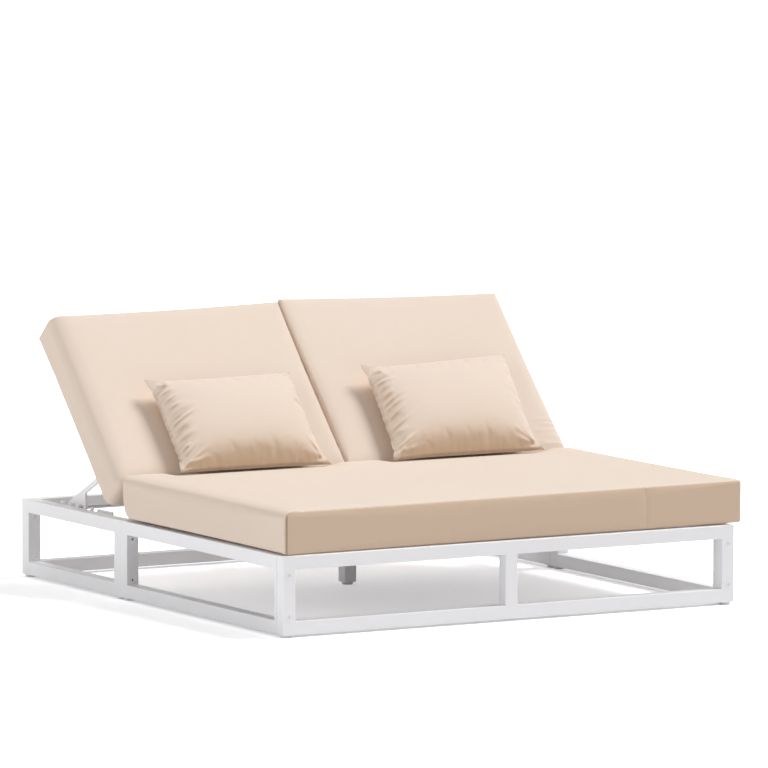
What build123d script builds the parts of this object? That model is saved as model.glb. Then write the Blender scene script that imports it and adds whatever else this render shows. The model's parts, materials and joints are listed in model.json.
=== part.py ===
# Double chaise lounger: a wide daybed frame of square tube in two bolted modules, with one
# full-width seat cushion, two backs that recline on their own, and two throw pillows.
# Millimetres. +Z is up, the foot end is -Y, the head end is +Y, and the origin lies on the floor
# under the middle of the frame. The backs are drawn part raised, each at its rest angle.
import os
from math import cos, radians, sin, sqrt

from build123d import *

# Frame
frame_width = 1900.0
frame_length = 2000.0
head_module_length = 778.0
frame_height = 295.0
tube = 50.0
tube_wall = 2.5
tube_corner = 3.0
tube_inner_corner = 0.5
glide_height = 10.0
glide_inset = 2.5
glide_edge = 1.5
glide_stem = 18.0
glide_clearance = 0.2
foot_plate = 15.0
head_plate = 6.0
hinge_beam_depth = 35.0

# Bolts
bolt_diameter = 8.0
bolt_head_diameter = 15.0
bolt_head_height = 3.0
bolt_head_edge = 1.0
bolt_clearance = 0.05
bolt_edge = 17.0
bolt_end = 12.0

# Seat base
slat_count = 8
slat_width = 80.0
slat_thickness = 20.0
slat_wall = 1.5
slat_corner = 2.5
slat_inner_corner = 1.0
slat_proud = 8.0
slat_end_gap = 0.8
slat_end_space = 40.0
ledge_width = 25.0
ledge_thickness = 6.0

# Backs
rest_angle = 47.4
hinge_set_back = 63.5
hinge_drop = 12.5
panel_tube = 25.0
panel_wall = 2.0
panel_corner = 2.0
panel_inner_corner = 0.5
panel_length = 655.0
panel_slat_count = 5
panel_slat_width = 60.0
panel_slat_thickness = 8.0
panel_slat_corner = 2.0
panel_slat_start = 40.0
pin_diameter = 10.0
pin_head_diameter = 16.0
pin_head = 3.0
pin_fit = 0.05
pin_head_gap = 0.3
washer_gap = 2.0
bracket_thickness = 6.0
bracket_radius = 14.0

# Props and racks
prop_pivot = 237.0
prop_angle = 27.0
prop_thickness = 8.0
prop_bar = 20.0
prop_boss = 12.0
prop_tail = 375.0
prop_tail_end = 6.0
prop_foot_along = 255.0
prop_foot_drop = 54.5
prop_gusset_start = 222.0
foot_bar_diameter = 14.0
foot_bar_end_gap = 0.5
rack_standoff = 12.0
rack_thickness = 6.0
rack_height = 26.0
rack_rise = 7.0
rack_arm_gap = 10.0
rack_pitch = 55.0
rack_tooth = 18.0
rack_lean = 6.0
rack_notches_ahead = 2
rack_notches_behind = 2
rack_front_run = 140.0
rack_rear_run = 22.0
rack_seat_gap = 0.5
rack_lug = 20.0

# Cushions and pillows
cushion_overhang = 6.0
cushion_gap = 3.0
cushion_edge = 16.0
cushion_corner = 26.0
cushion_draw = 5.0
cushion_rest_gap = 0.3
seat_front_inset = 15.0
seat_rear_gap = 22.0
seat_border = 150.0
seat_crown = 9.0
back_border = 146.0
back_crown = 8.0
back_length = 765.0
back_start = 78.0
crown_reach_share = 0.42
pillow_width = 620.0
pillow_height = 430.0
pillow_swell = 92.0
pillow_hollow = 15.0
pillow_settle = 0.85
pillow_shift = 70.0
pillow_start = 62.0

# Places worked out from the sizes above
half_width = frame_width / 2
side_inner = half_width - tube
side_centre = half_width - tube / 2
foot_y = -(frame_length - bolt_head_height) / 2
head_y = foot_y + frame_length
joint_y = head_y - head_module_length
rail_middle_z = frame_height - tube / 2
rail_under_z = frame_height - tube
low_rail_middle_z = glide_height + tube / 2
low_rail_top_z = glide_height + tube
post_height = frame_height - glide_height
opening_height = rail_under_z - low_rail_top_z
end_length = 2 * side_inner
bolt_heights = (low_rail_top_z + bolt_edge, rail_under_z - bolt_edge)
slat_top_z = frame_height + slat_proud
slat_under_z = slat_top_z - slat_thickness
hinge_y = joint_y + hinge_set_back
hinge_z = frame_height - hinge_drop
panel_face = panel_tube / 2 + panel_slat_thickness
lean_cos = cos(radians(rest_angle))
lean_sin = sin(radians(rest_angle))
prop_cos = cos(radians(prop_angle))
prop_sin = sin(radians(prop_angle))

# Distances from the centre plane of what stands beside each back, on its outer and inner side
outer_rack = side_inner - rack_standoff - rack_thickness
inner_rack = tube / 2 + rack_standoff
outer_arm = outer_rack - rack_arm_gap - prop_thickness
inner_arm = inner_rack + rack_thickness + rack_arm_gap
panel_outer = outer_arm - washer_gap
panel_inner = inner_arm + prop_thickness + washer_gap
panel_width = panel_outer - panel_inner

pivot_y = hinge_y + prop_pivot * lean_cos
pivot_z = hinge_z + prop_pivot * lean_sin
foot_bar_y = pivot_y + prop_foot_along * prop_cos - prop_foot_drop * prop_sin
foot_bar_z = pivot_z - prop_foot_along * prop_sin - prop_foot_drop * prop_cos

SIDES = (("left", -1), ("right", 1))


# Planes. Each is named by the way its normal points.
def along_x(x, y, z):
    return Plane(origin=(x, y, z), x_dir=(0, 1, 0), z_dir=(1, 0, 0))


def along_y(x, y, z):
    return Plane(origin=(x, y, z), x_dir=(-1, 0, 0), z_dir=(0, 1, 0))


def along_z(x, y, z):
    return Plane(origin=(x, y, z), x_dir=(1, 0, 0), z_dir=(0, 0, 1))


def back_point(x, up, out):
    """Point of a raised back: up its slope from the hinge axis, and out from the axis to the front."""
    return (x, hinge_y + up * lean_cos - out * lean_sin, hinge_z + up * lean_sin + out * lean_cos)


def up_back(x, up, out):
    return Plane(origin=back_point(x, up, out), x_dir=(1, 0, 0), z_dir=(0, lean_cos, lean_sin))


def across_back(x, up=0.0, out=0.0):
    return Plane(origin=back_point(x, up, out), x_dir=(0, lean_cos, lean_sin), z_dir=(1, 0, 0))


def out_of_back(x, up, out):
    return Plane(origin=back_point(x, up, out), x_dir=(1, 0, 0), z_dir=(0, -lean_sin, lean_cos))


def save(piece, name):
    piece.part.label = name
    export_step(piece.part, f"parts/{name}.step")


def square_tube(name, plane, wide, high, length, wall, corner, inner_corner, cap, bores):
    """Hollow tube that starts on a plane, with an end wall of the given thickness and cross bores."""
    with BuildPart() as piece:
        with BuildSketch(plane):
            RectangleRounded(wide, high, corner)
        extrude(amount=length)
        with BuildSketch(plane):
            RectangleRounded(wide - 2 * wall, high - 2 * wall, inner_corner)
        extrude(amount=length - cap, mode=Mode.SUBTRACT)
        for bore_plane, diameter, depth in bores:
            with BuildSketch(bore_plane):
                Circle(diameter / 2)
            extrude(amount=depth, mode=Mode.SUBTRACT)
    save(piece, name)


def frame_tube(name, plane, length, cap=0.0, bores=(), wide=tube):
    square_tube(name, plane, wide, tube, length, tube_wall, tube_corner, tube_inner_corner, cap, bores)


def post_bores(x, y, depth=tube):
    """Bolt holes that pass lengthwise into a post whose front face is at y."""
    return [(along_y(x, y, z), bolt_diameter + 2 * bolt_clearance, depth) for z in bolt_heights]


def bolt_set(name, spots, length, way):
    """Bolts along Y at (x, y, z) spots on the faces that their heads rest on, pointing way."""
    with BuildPart() as bolts:
        for x, y, z in spots:
            with BuildSketch(along_y(x, y, z)):
                Circle(bolt_diameter / 2)
            extrude(amount=way * length)
            with BuildSketch(along_y(x, y, z)):
                Circle(bolt_head_diameter / 2)
            extrude(amount=-way * bolt_head_height)
        rims = bolts.edges().filter_by(GeomType.CIRCLE)
        tip_y = spots[0][1] - way * bolt_head_height
        chamfer(rims.filter_by_position(Axis.Y, tip_y, tip_y), length=bolt_head_edge)
    save(bolts, name)


os.makedirs("parts", exist_ok=True)

# Foot module: two corner posts and a middle post joined by a top and a bottom rail
for side, sign in SIDES:
    frame_tube(
        f"{side}_foot_post",
        along_z(sign * side_centre, foot_y + tube / 2, glide_height),
        post_height,
        cap=tube_wall,
        bores=post_bores(sign * side_centre, foot_y),
    )
foot_end_middle_y = foot_y + tube / 2
frame_tube("foot_end_top_rail", along_x(-side_inner, foot_end_middle_y, rail_middle_z), end_length)
frame_tube("foot_end_bottom_rail", along_x(-side_inner, foot_end_middle_y, low_rail_middle_z), end_length)
frame_tube("foot_end_middle_post", along_z(0, foot_end_middle_y, low_rail_top_z), opening_height)

# Foot module: side rails between the foot plates and the joint posts
foot_rail_y = foot_y + tube + foot_plate
foot_rail_length = joint_y - tube - foot_rail_y
for side, sign in SIDES:
    side_x = sign * side_centre
    frame_tube(f"{side}_seat_top_rail", along_y(side_x, foot_rail_y, rail_middle_z), foot_rail_length)
    frame_tube(f"{side}_seat_bottom_rail", along_y(side_x, foot_rail_y, low_rail_middle_z), foot_rail_length)
    frame_tube(
        f"{side}_front_joint_post",
        along_z(side_x, joint_y - tube / 2, glide_height),
        post_height,
        cap=tube_wall,
        bores=post_bores(side_x, joint_y - tube),
    )


def plate_pair(name, y, thickness):
    """Upright plates, one at each side of the frame, that close the side rails' ends."""
    with BuildPart() as plates:
        with BuildSketch(along_y(0, y, 0)):
            for x in (-side_centre, side_centre):
                with Locations((x, glide_height + post_height / 2)):
                    RectangleRounded(tube, post_height, tube_corner)
                with Locations(*[(x, z) for z in bolt_heights]):
                    Circle(bolt_diameter / 2 + bolt_clearance, mode=Mode.SUBTRACT)
        extrude(amount=thickness)
    save(plates, name)


plate_pair("foot_end_plates", foot_y + tube, foot_plate)

# Foot module: beam across the module joint, centre beam, centre leg, ledges and slats
beam_y = joint_y - tube / 2
frame_tube("seat_rear_beam", along_x(-side_inner, beam_y, rail_middle_z), end_length)
seat_beam_length = joint_y - foot_y - 2 * tube
frame_tube("seat_centre_beam", along_y(0, foot_y + tube, slat_under_z - tube / 2), seat_beam_length)
frame_tube("centre_leg", along_z(0, beam_y, glide_height), rail_under_z - glide_height)

with BuildPart() as seat_ledges:
    for side, sign in SIDES:
        ledge_x = sign * (side_inner - ledge_width / 2)
        with BuildSketch(along_y(ledge_x, foot_rail_y, slat_under_z - ledge_thickness / 2)):
            Rectangle(ledge_width, ledge_thickness)
        extrude(amount=foot_rail_length)
save(seat_ledges, "seat_ledges")

slat_bore_width = slat_width - 2 * slat_wall
slat_bore_height = slat_thickness - 2 * slat_wall
slat_run = foot_rail_length - 2 * slat_end_space - slat_width
slat_step = slat_run / (slat_count - 1)
with BuildPart() as seat_slats:
    for index in range(slat_count):
        slat_y = foot_rail_y + slat_end_space + slat_width / 2 + index * slat_step
        with BuildSketch(along_x(slat_end_gap - side_inner, slat_y, slat_under_z + slat_thickness / 2)):
            RectangleRounded(slat_width, slat_thickness, slat_corner)
            RectangleRounded(slat_bore_width, slat_bore_height, slat_inner_corner, mode=Mode.SUBTRACT)
        extrude(amount=end_length - 2 * slat_end_gap)
save(seat_slats, "seat_slats")

# Head module: joint posts, side rails, head plates, head posts, and the end frame
head_rail_y = joint_y + tube
head_rail_length = head_y - tube - head_plate - head_rail_y
for side, sign in SIDES:
    side_x = sign * side_centre
    frame_tube(
        f"{side}_rear_joint_post",
        along_z(side_x, joint_y + tube / 2, glide_height),
        post_height,
        cap=tube_wall,
        bores=post_bores(side_x, joint_y),
    )
    frame_tube(f"{side}_head_top_rail", along_y(side_x, head_rail_y, rail_middle_z), head_rail_length)
    frame_tube(f"{side}_head_bottom_rail", along_y(side_x, head_rail_y, low_rail_middle_z), head_rail_length)
    frame_tube(
        f"{side}_head_post",
        along_z(side_x, head_y - tube / 2, glide_height),
        post_height,
        cap=tube_wall,
        bores=post_bores(side_x, head_y - tube, tube / 2),
    )
plate_pair("head_end_plates", head_y - tube - head_plate, head_plate)
head_end_middle_y = head_y - tube / 2
frame_tube("head_end_top_rail", along_x(-side_inner, head_end_middle_y, rail_middle_z), end_length)
frame_tube("head_end_bottom_rail", along_x(-side_inner, head_end_middle_y, low_rail_middle_z), end_length)
frame_tube("head_end_middle_post", along_z(0, head_end_middle_y, low_rail_top_z), opening_height)

# Head module: hinge beam across the front, and the centre beam between the two backs
hinge_beam_plane = along_x(-side_inner, joint_y + hinge_beam_depth / 2, rail_middle_z)
frame_tube("hinge_beam", hinge_beam_plane, end_length, wide=hinge_beam_depth)
beam_rear_y = joint_y + hinge_beam_depth
frame_tube("head_centre_beam", along_y(0, beam_rear_y, rail_middle_z), head_y - tube - beam_rear_y)

# Bolts of the frame, in sets of the same length, and the glides under the posts
bolt_set(
    "foot_corner_bolts",
    [(sign * side_centre, foot_y, z) for side, sign in SIDES for z in bolt_heights],
    tube + foot_plate,
    1,
)
bolt_set(
    "module_bolts",
    [(sign * side_centre, joint_y + tube, z) for side, sign in SIDES for z in bolt_heights],
    tube + bolt_end,
    -1,
)
bolt_set(
    "head_corner_bolts",
    [(sign * side_centre, head_y - tube - head_plate, z) for side, sign in SIDES for z in bolt_heights],
    head_plate + bolt_end,
    1,
)

glide_rows = (foot_y + tube / 2, joint_y - tube / 2, joint_y + tube / 2, head_y - tube / 2)
glide_spots = [(sign * side_centre, y) for side, sign in SIDES for y in glide_rows]
glide_spots.append((0, joint_y - tube / 2))
glide_width = tube - 2 * glide_inset
stem_width = tube - 2 * tube_wall - 2 * glide_clearance
with BuildPart() as glides:
    with BuildSketch():
        with Locations(*glide_spots):
            RectangleRounded(glide_width, glide_width, tube_corner)
    extrude(amount=glide_height)
    chamfer(glides.faces().group_by(Axis.Z)[0].edges(), length=glide_edge)
    with BuildSketch(Plane.XY.offset(glide_height)):
        with Locations(*glide_spots):
            RectangleRounded(stem_width, stem_width, tube_inner_corner)
    extrude(amount=glide_stem)
save(glides, "glides")

# Hinge brackets: upright plates behind the hinge beam, beside each rail of each back
with BuildPart() as hinge_brackets:
    for side, sign in SIDES:
        for face, way in ((panel_outer + washer_gap, 1), (panel_inner - washer_gap, -1)):
            with BuildSketch(along_x(sign * face, hinge_y, hinge_z)):
                Circle(bracket_radius)
                with Locations(((beam_rear_y - hinge_y) / 2, 0)):
                    Rectangle(hinge_y - beam_rear_y, 2 * bracket_radius)
                Circle(pin_diameter / 2 + pin_fit, mode=Mode.SUBTRACT)
            extrude(amount=sign * way * bracket_thickness)
save(hinge_brackets, "hinge_brackets")

# Racks: notched plates along the outer and the inner side of each back, on welded lugs
rack_top_z = frame_height + rack_rise
rack_under_z = rack_top_z - rack_height
rack_floor_z = foot_bar_z - foot_bar_diameter / 2 - rack_seat_gap
rack_front_y = foot_bar_y - rack_notches_ahead * rack_pitch - rack_front_run
rack_rear_y = foot_bar_y + rack_notches_behind * rack_pitch + rack_pitch / 2 + rack_rear_run
rack_length = rack_rear_y - rack_front_y
notch_width = rack_pitch - rack_tooth
lug_z = (rack_under_z + rack_floor_z) / 2
for side, sign in SIDES:
    with BuildPart() as racks:
        for face, way in ((side_inner - rack_standoff, -1), (inner_rack, 1)):
            with BuildSketch(along_x(sign * face, 0, 0)):
                with Locations((rack_front_y + rack_length / 2, rack_under_z + rack_height / 2)):
                    Rectangle(rack_length, rack_height)
                for index in range(-rack_notches_ahead, rack_notches_behind + 1):
                    seat_y = foot_bar_y + index * rack_pitch
                    with BuildLine():
                        Polyline(
                            (seat_y - notch_width / 2, rack_floor_z),
                            (seat_y + notch_width / 2, rack_floor_z),
                            (seat_y + notch_width / 2 - rack_lean, rack_top_z),
                            (seat_y - notch_width / 2 - rack_lean, rack_top_z),
                            close=True,
                        )
                    make_face(mode=Mode.SUBTRACT)
            extrude(amount=sign * way * rack_thickness)
            with BuildSketch(along_x(sign * face, 0, 0)):
                with Locations((rack_front_y + rack_lug, lug_z), (rack_rear_y - rack_lug, lug_z)):
                    Rectangle(rack_lug, rack_floor_z - rack_under_z)
            extrude(amount=-sign * way * rack_standoff)
    save(racks, f"{side}_racks")

# Back panels: two side rails, two cross rails, slats over them, and the pins on which things turn
panel_tube_start = -panel_tube / 2
slat_room = panel_length - panel_slat_start - panel_slat_width
panel_slat_step = (slat_room - panel_slat_start) / (panel_slat_count - 1)


def panel_tube_piece(name, plane, length, bores=()):
    square_tube(
        name, plane, panel_tube, panel_tube, length, panel_wall, panel_corner, panel_inner_corner, 0, bores
    )


for side, sign in SIDES:
    panel_middle = sign * (panel_outer + panel_inner) / 2
    for place, edge, way in (("outer", panel_outer, -1), ("inner", panel_inner, 1)):
        rail_x = sign * (edge + way * panel_tube / 2)
        rail_bores = [
            (across_back(rail_x - panel_tube / 2, up), pin_diameter + 2 * pin_fit, panel_tube)
            for up in (0, prop_pivot)
        ]
        panel_tube_piece(
            f"{side}_back_{place}_rail",
            up_back(rail_x, panel_tube_start, 0),
            panel_length - panel_tube_start,
            rail_bores,
        )
    cross_start = -panel_width / 2 + panel_tube
    for place, up in (("lower", panel_slat_start), ("upper", panel_length - panel_tube / 2)):
        panel_tube_piece(
            f"{side}_back_{place}_rail",
            across_back(panel_middle + cross_start, up),
            panel_width - 2 * panel_tube,
        )
    with BuildPart() as back_slats:
        for index in range(panel_slat_count):
            slat_up = panel_slat_start + panel_slat_width / 2 + index * panel_slat_step
            with BuildSketch(across_back(panel_middle - panel_width / 2, slat_up, panel_tube / 2)):
                with Locations((0, panel_slat_thickness / 2)):
                    RectangleRounded(panel_slat_width, panel_slat_thickness, panel_slat_corner)
            extrude(amount=panel_width)
    save(back_slats, f"{side}_back_slats")

    # Each pin runs from the inner wall of its rail out through the bracket or arm beside it
    with BuildPart() as back_pins:
        for edge, way in ((panel_outer, 1), (panel_inner, -1)):
            for up, reach in ((0, bracket_thickness), (prop_pivot, prop_thickness)):
                pin_start = sign * (edge - way * panel_tube)
                pin_reach = washer_gap + reach + pin_head_gap
                with BuildSketch(across_back(pin_start, up)):
                    Circle(pin_diameter / 2)
                extrude(amount=sign * way * (panel_tube + pin_reach))
                with BuildSketch(across_back(sign * (edge + way * pin_reach), up)):
                    Circle(pin_head_diameter / 2)
                extrude(amount=sign * way * pin_head)
    save(back_pins, f"{side}_back_pins")

# Props: boot-shaped plates outside each back's rails, joined by the foot bar that sits in the racks
for side, sign in SIDES:
    with BuildPart() as prop_arms:
        for arm_x in (outer_arm, inner_arm):
            arm_plane = Plane(
                origin=(sign * arm_x, pivot_y, pivot_z), x_dir=(0, prop_cos, -prop_sin), z_dir=(1, 0, 0)
            )
            with BuildSketch(arm_plane):
                Circle(prop_boss)
                with BuildLine():
                    Polyline(
                        (0, prop_bar / 2),
                        (prop_tail, prop_bar / 2),
                        (prop_tail, prop_bar / 2 - prop_tail_end),
                        (prop_foot_along + prop_boss * prop_sin, -prop_foot_drop - prop_boss * prop_cos),
                        (prop_foot_along - prop_boss, -prop_foot_drop),
                        (prop_gusset_start, -prop_bar / 2),
                        (0, -prop_bar / 2),
                        close=True,
                    )
                make_face()
                with Locations((prop_foot_along, -prop_foot_drop)):
                    Circle(prop_boss)
                    Circle(foot_bar_diameter / 2 + bolt_clearance, mode=Mode.SUBTRACT)
                Circle(pin_diameter / 2 + pin_fit, mode=Mode.SUBTRACT)
            extrude(amount=sign * prop_thickness)
    save(prop_arms, f"{side}_prop_arms")

    bar_inner = inner_rack + rack_thickness + foot_bar_end_gap
    bar_outer = outer_rack - foot_bar_end_gap
    with BuildPart() as foot_bar:
        with BuildSketch(along_x(sign * bar_inner, foot_bar_y, foot_bar_z)):
            Circle(foot_bar_diameter / 2)
        extrude(amount=sign * (bar_outer - bar_inner))
    save(foot_bar, f"{side}_prop_foot_bar")


# Cushions: a boxed form with rounded borders, sides drawn in between the corners and a crown on top
turn_diagonal = cushion_corner * (1 - 1 / sqrt(2))
edge_shares = ((0.0, 1.0), (0.3, 0.29), (1.0, 0.0))
crown_shares = ((0.15, 0.28), (0.4, 0.64), (0.7, 0.91), (1.0, 1.0))


def boxed_cushion(name, plane, long, deep, border, crown):
    """Loft a cushion upwards from its plane: lower edge, border, upper edge, then the crown."""
    crown_reach = crown_reach_share * min(long, deep) - cushion_edge
    rows = [(rise * cushion_edge, inset * cushion_edge) for rise, inset in edge_shares]
    rows += [(border - rise * cushion_edge, inset * cushion_edge) for rise, inset in reversed(edge_shares)]
    rows += [(border + crown * rise, cushion_edge + reach * crown_reach) for reach, rise in crown_shares]
    with BuildPart() as cushion:
        for rise, inset in rows:
            half_long = long / 2 - inset
            half_deep = deep / 2 - inset
            corner_x = half_long - cushion_corner
            corner_y = half_deep - cushion_corner
            with BuildSketch(plane.offset(rise)):
                with BuildLine():
                    for turn_x, turn_y in ((1, 1), (-1, 1), (-1, -1), (1, -1)):
                        ThreePointArc(
                            (turn_x * half_long, turn_y * corner_y),
                            (turn_x * (half_long - turn_diagonal), turn_y * (half_deep - turn_diagonal)),
                            (turn_x * corner_x, turn_y * half_deep),
                        )
                    for turn in (1, -1):
                        draw_x = turn * (half_long - cushion_draw)
                        draw_y = turn * (half_deep - cushion_draw)
                        side_x, side_y = turn * half_long, turn * half_deep
                        ThreePointArc((side_x, -corner_y), (draw_x, 0), (side_x, corner_y))
                        ThreePointArc((-corner_x, side_y), (0, draw_y), (corner_x, side_y))
                make_face()
        loft(ruled=True)
    save(cushion, name)


seat_front_y = foot_y + seat_front_inset
seat_rear_y = joint_y - seat_rear_gap
boxed_cushion(
    "seat_cushion",
    along_z(0, (seat_front_y + seat_rear_y) / 2, slat_top_z),
    frame_width + 2 * cushion_overhang,
    seat_rear_y - seat_front_y,
    seat_border,
    seat_crown,
)

back_width = half_width + cushion_overhang - cushion_gap / 2
back_middle = (cushion_gap / 2 + half_width + cushion_overhang) / 2
back_face = panel_face + cushion_rest_gap
for side, sign in SIDES:
    boxed_cushion(
        f"{side}_back_cushion",
        out_of_back(sign * back_middle, back_start + back_length / 2, back_face),
        back_width,
        back_length,
        back_border,
        back_crown,
    )

# Throw pillows: lens-shaped sections up the slope of the back, thin at the ends and full between
pillow_rows_share = (
    (0.0, 1.0, 0.05),
    (0.05, 0.985, 0.36),
    (0.18, 0.965, 0.74),
    (0.5, 0.955, 1.0),
    (0.82, 0.965, 0.74),
    (0.95, 0.985, 0.36),
    (1.0, 1.0, 0.05),
)
# The pillows lie off the crown's top, where the cushion is lower by what they settle
pillow_face = back_face + back_border + back_crown + cushion_rest_gap + pillow_hollow - pillow_settle
for side, sign in SIDES:
    pillow_x = sign * back_middle + pillow_shift
    with BuildPart() as pillow:
        for up_share, width_share, swell_share in pillow_rows_share:
            half = pillow_width * width_share / 2
            with BuildSketch(up_back(pillow_x, pillow_start + up_share * pillow_height, pillow_face)):
                with BuildLine():
                    ThreePointArc((-half, 0), (0, -swell_share * pillow_swell), (half, 0))
                    ThreePointArc((half, 0), (0, swell_share * pillow_hollow), (-half, 0))
                make_face()
        loft()
    save(pillow, f"{side}_pillow")
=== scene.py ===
"""Double chaise lounger dressed for the studio: boxed cushions, throw pillows, seams, screws and coats.

Metres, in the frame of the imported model: +X right, -Y foot end, +Z up.
"""
from __future__ import annotations

import itertools
import json
import logging
import math
from dataclasses import dataclass, field
from enum import Enum
from typing import Any, Sequence

import bmesh
import bpy
import numpy as np
from mathutils import Matrix, Vector


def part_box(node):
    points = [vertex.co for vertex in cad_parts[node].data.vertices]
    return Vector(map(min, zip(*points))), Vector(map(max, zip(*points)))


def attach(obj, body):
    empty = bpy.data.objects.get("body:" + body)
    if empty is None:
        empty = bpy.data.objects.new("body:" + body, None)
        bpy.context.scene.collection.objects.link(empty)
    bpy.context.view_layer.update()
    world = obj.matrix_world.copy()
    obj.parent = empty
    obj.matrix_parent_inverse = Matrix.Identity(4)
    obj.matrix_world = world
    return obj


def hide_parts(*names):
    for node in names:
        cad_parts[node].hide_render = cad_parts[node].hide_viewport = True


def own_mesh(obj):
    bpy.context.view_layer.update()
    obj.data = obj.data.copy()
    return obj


LOG = logging.getLogger("double_chaise_lounger")
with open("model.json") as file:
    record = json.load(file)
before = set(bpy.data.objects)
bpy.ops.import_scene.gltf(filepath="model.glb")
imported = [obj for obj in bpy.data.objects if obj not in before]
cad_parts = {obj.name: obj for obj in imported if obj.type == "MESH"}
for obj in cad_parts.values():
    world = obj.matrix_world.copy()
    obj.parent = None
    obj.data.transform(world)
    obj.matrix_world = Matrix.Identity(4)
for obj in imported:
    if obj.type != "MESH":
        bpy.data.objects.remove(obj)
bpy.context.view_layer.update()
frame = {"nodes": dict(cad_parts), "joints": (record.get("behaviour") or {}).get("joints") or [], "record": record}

Colour = tuple[float, float, float]
Point = tuple[float, float, float]
TINY = 1e-9
NOISE_ROUGHNESS = 0.55


class Side(Enum):
    """The two halves of the lounger, as seen from its foot end."""

    LEFT = ("left", -1.0)
    RIGHT = ("right", 1.0)

    @property
    def word(self) -> str:
        """Return the name that the side's pieces start with."""
        return self.value[0]

    @property
    def sign(self) -> float:
        """Return the side's direction along X."""
        return self.value[1]


def add_node(tree: bpy.types.NodeTree, kind: str, settings: dict[str, Any],
             values: dict[Any, Any]) -> bpy.types.Node:
    """Add any node to a tree.

    Args:
        tree: The tree of a material, the world or a Geometry Nodes modifier.
        kind: The node's type.
        settings: Its properties, set first.
        values: A value or an output socket for each input, by name or number.

    Returns:
        The node.
    """
    made = tree.nodes.new(kind)
    for key, value in settings.items():
        setattr(made, key, value)
    for key, value in values.items():
        if isinstance(value, bpy.types.NodeSocket):
            tree.links.new(value, made.inputs[key])
        else:
            made.inputs[key].default_value = value
    return made


class Wire:
    """A shader socket that Python expressions can use."""

    def __init__(self, shader: Shader, socket: bpy.types.NodeSocket) -> None:
        """Keep the socket and the shader that it belongs to."""
        self.shader = shader
        self.socket = socket

    def _math(self, operation: str, first: Any, second: Any = None) -> Wire:
        """Return the value of a Math node on one or two wires or numbers."""
        values = {0: first} if second is None else {0: first, 1: second}
        return self.shader.node("ShaderNodeMath", {"operation": operation}, values)

    def __add__(self, other: Any) -> Wire:
        """Return self + other."""
        return self._math("ADD", self, other)

    __radd__ = __add__

    def __sub__(self, other: Any) -> Wire:
        """Return self - other."""
        return self._math("SUBTRACT", self, other)

    def __rsub__(self, other: Any) -> Wire:
        """Return other - self."""
        return self._math("SUBTRACT", other, self)

    def __mul__(self, other: Any) -> Wire:
        """Return self * other."""
        return self._math("MULTIPLY", self, other)

    __rmul__ = __mul__

    def sine(self) -> Wire:
        """Return the sine of the value."""
        return self._math("SINE", self)

    def over(self, low: float, high: float) -> Wire:
        """Return 0 below low, 1 above high and a smooth rise between them."""
        values = {0: self, 1: low, 2: high}
        return self.shader.node("ShaderNodeMapRange", {"interpolation_type": "SMOOTHSTEP"}, values)

    def most(self, other: Any) -> Wire:
        """Return the larger of the two values."""
        return self._math("MAXIMUM", self, other)


class Shader:
    """A node tree in the making, for a material or the world."""

    def __init__(self, tree: bpy.types.NodeTree) -> None:
        """Start from an empty tree."""
        self.tree = tree
        tree.nodes.clear()

    def raw(self, kind: str, settings: dict[str, Any], values: dict[Any, Any]) -> bpy.types.Node:
        """Make any node from its type, its settings and a value or a wire for each socket."""
        sockets = {key: value.socket if isinstance(value, Wire) else value for key, value in values.items()}
        return add_node(self.tree, kind, settings, sockets)

    def node(self, kind: str, settings: dict[str, Any], values: dict[Any, Any], out: Any = 0) -> Wire:
        """Make any node and return one of its outputs as a wire."""
        return Wire(self, self.raw(kind, settings, values).outputs[out])

    def place(self) -> Wire:
        """Return the point on the piece, on its Object coordinates."""
        return self.node("ShaderNodeTexCoord", {}, {}, "Object")

    def noise(self, place: Wire, scale: float, detail: float = 2.0, stretch: Point = (1, 1, 1)) -> Wire:
        """Return a noise between 0 and 1.

        Args:
            place: The point that it is read at, in metres.
            scale: Its features per metre.
            detail: How many finer layers it has.
            stretch: A factor on each axis of the point.

        Returns:
            The noise value.
        """
        if stretch != (1, 1, 1):
            place = self.node("ShaderNodeVectorMath", {"operation": "MULTIPLY"}, {0: place, 1: stretch})
        values = {"Vector": place, "Scale": scale, "Detail": detail, "Roughness": NOISE_ROUGHNESS}
        return self.node("ShaderNodeTexNoise", {"noise_dimensions": "3D"}, values, "Fac")

    def blend(self, share: Any, first: Any, second: Any) -> Wire:
        """Mix two colours.

        Args:
            share: How much of the second one, from 0 to 1.
            first: A colour or a wire.
            second: Another colour or wire.

        Returns:
            The mixed colour.
        """
        colours = [c if isinstance(c, Wire) else (*c, 1.0) for c in (first, second)]
        values = {0: share, 6: colours[0], 7: colours[1]}
        return self.node("ShaderNodeMix", {"data_type": "RGBA"}, values, 2)

    def bump(self, height: Wire, strength: float, distance: float) -> Wire:
        """Return a normal that follows a height, in metres of relief."""
        values = {"Height": height, "Strength": strength, "Distance": distance}
        return self.node("ShaderNodeBump", {}, values)

    def finish(self, **values: Any) -> None:
        """Close a material with a Principled surface.

        Args:
            values: A value or a wire for each socket, by its name with underscores for spaces.
        """
        sockets = {key.replace("_", " "): value for key, value in values.items()}
        surface = self.node("ShaderNodeBsdfPrincipled", {}, sockets)
        self.raw("ShaderNodeOutputMaterial", {}, {"Surface": surface})


def new_material(name: str) -> tuple[bpy.types.Material, Shader]:
    """Make an empty material.

    Args:
        name: The material's name.

    Returns:
        The material and the shader that fills it.
    """
    material = bpy.data.materials.new(name)
    material.use_nodes = True
    return material, Shader(material.node_tree)


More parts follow.
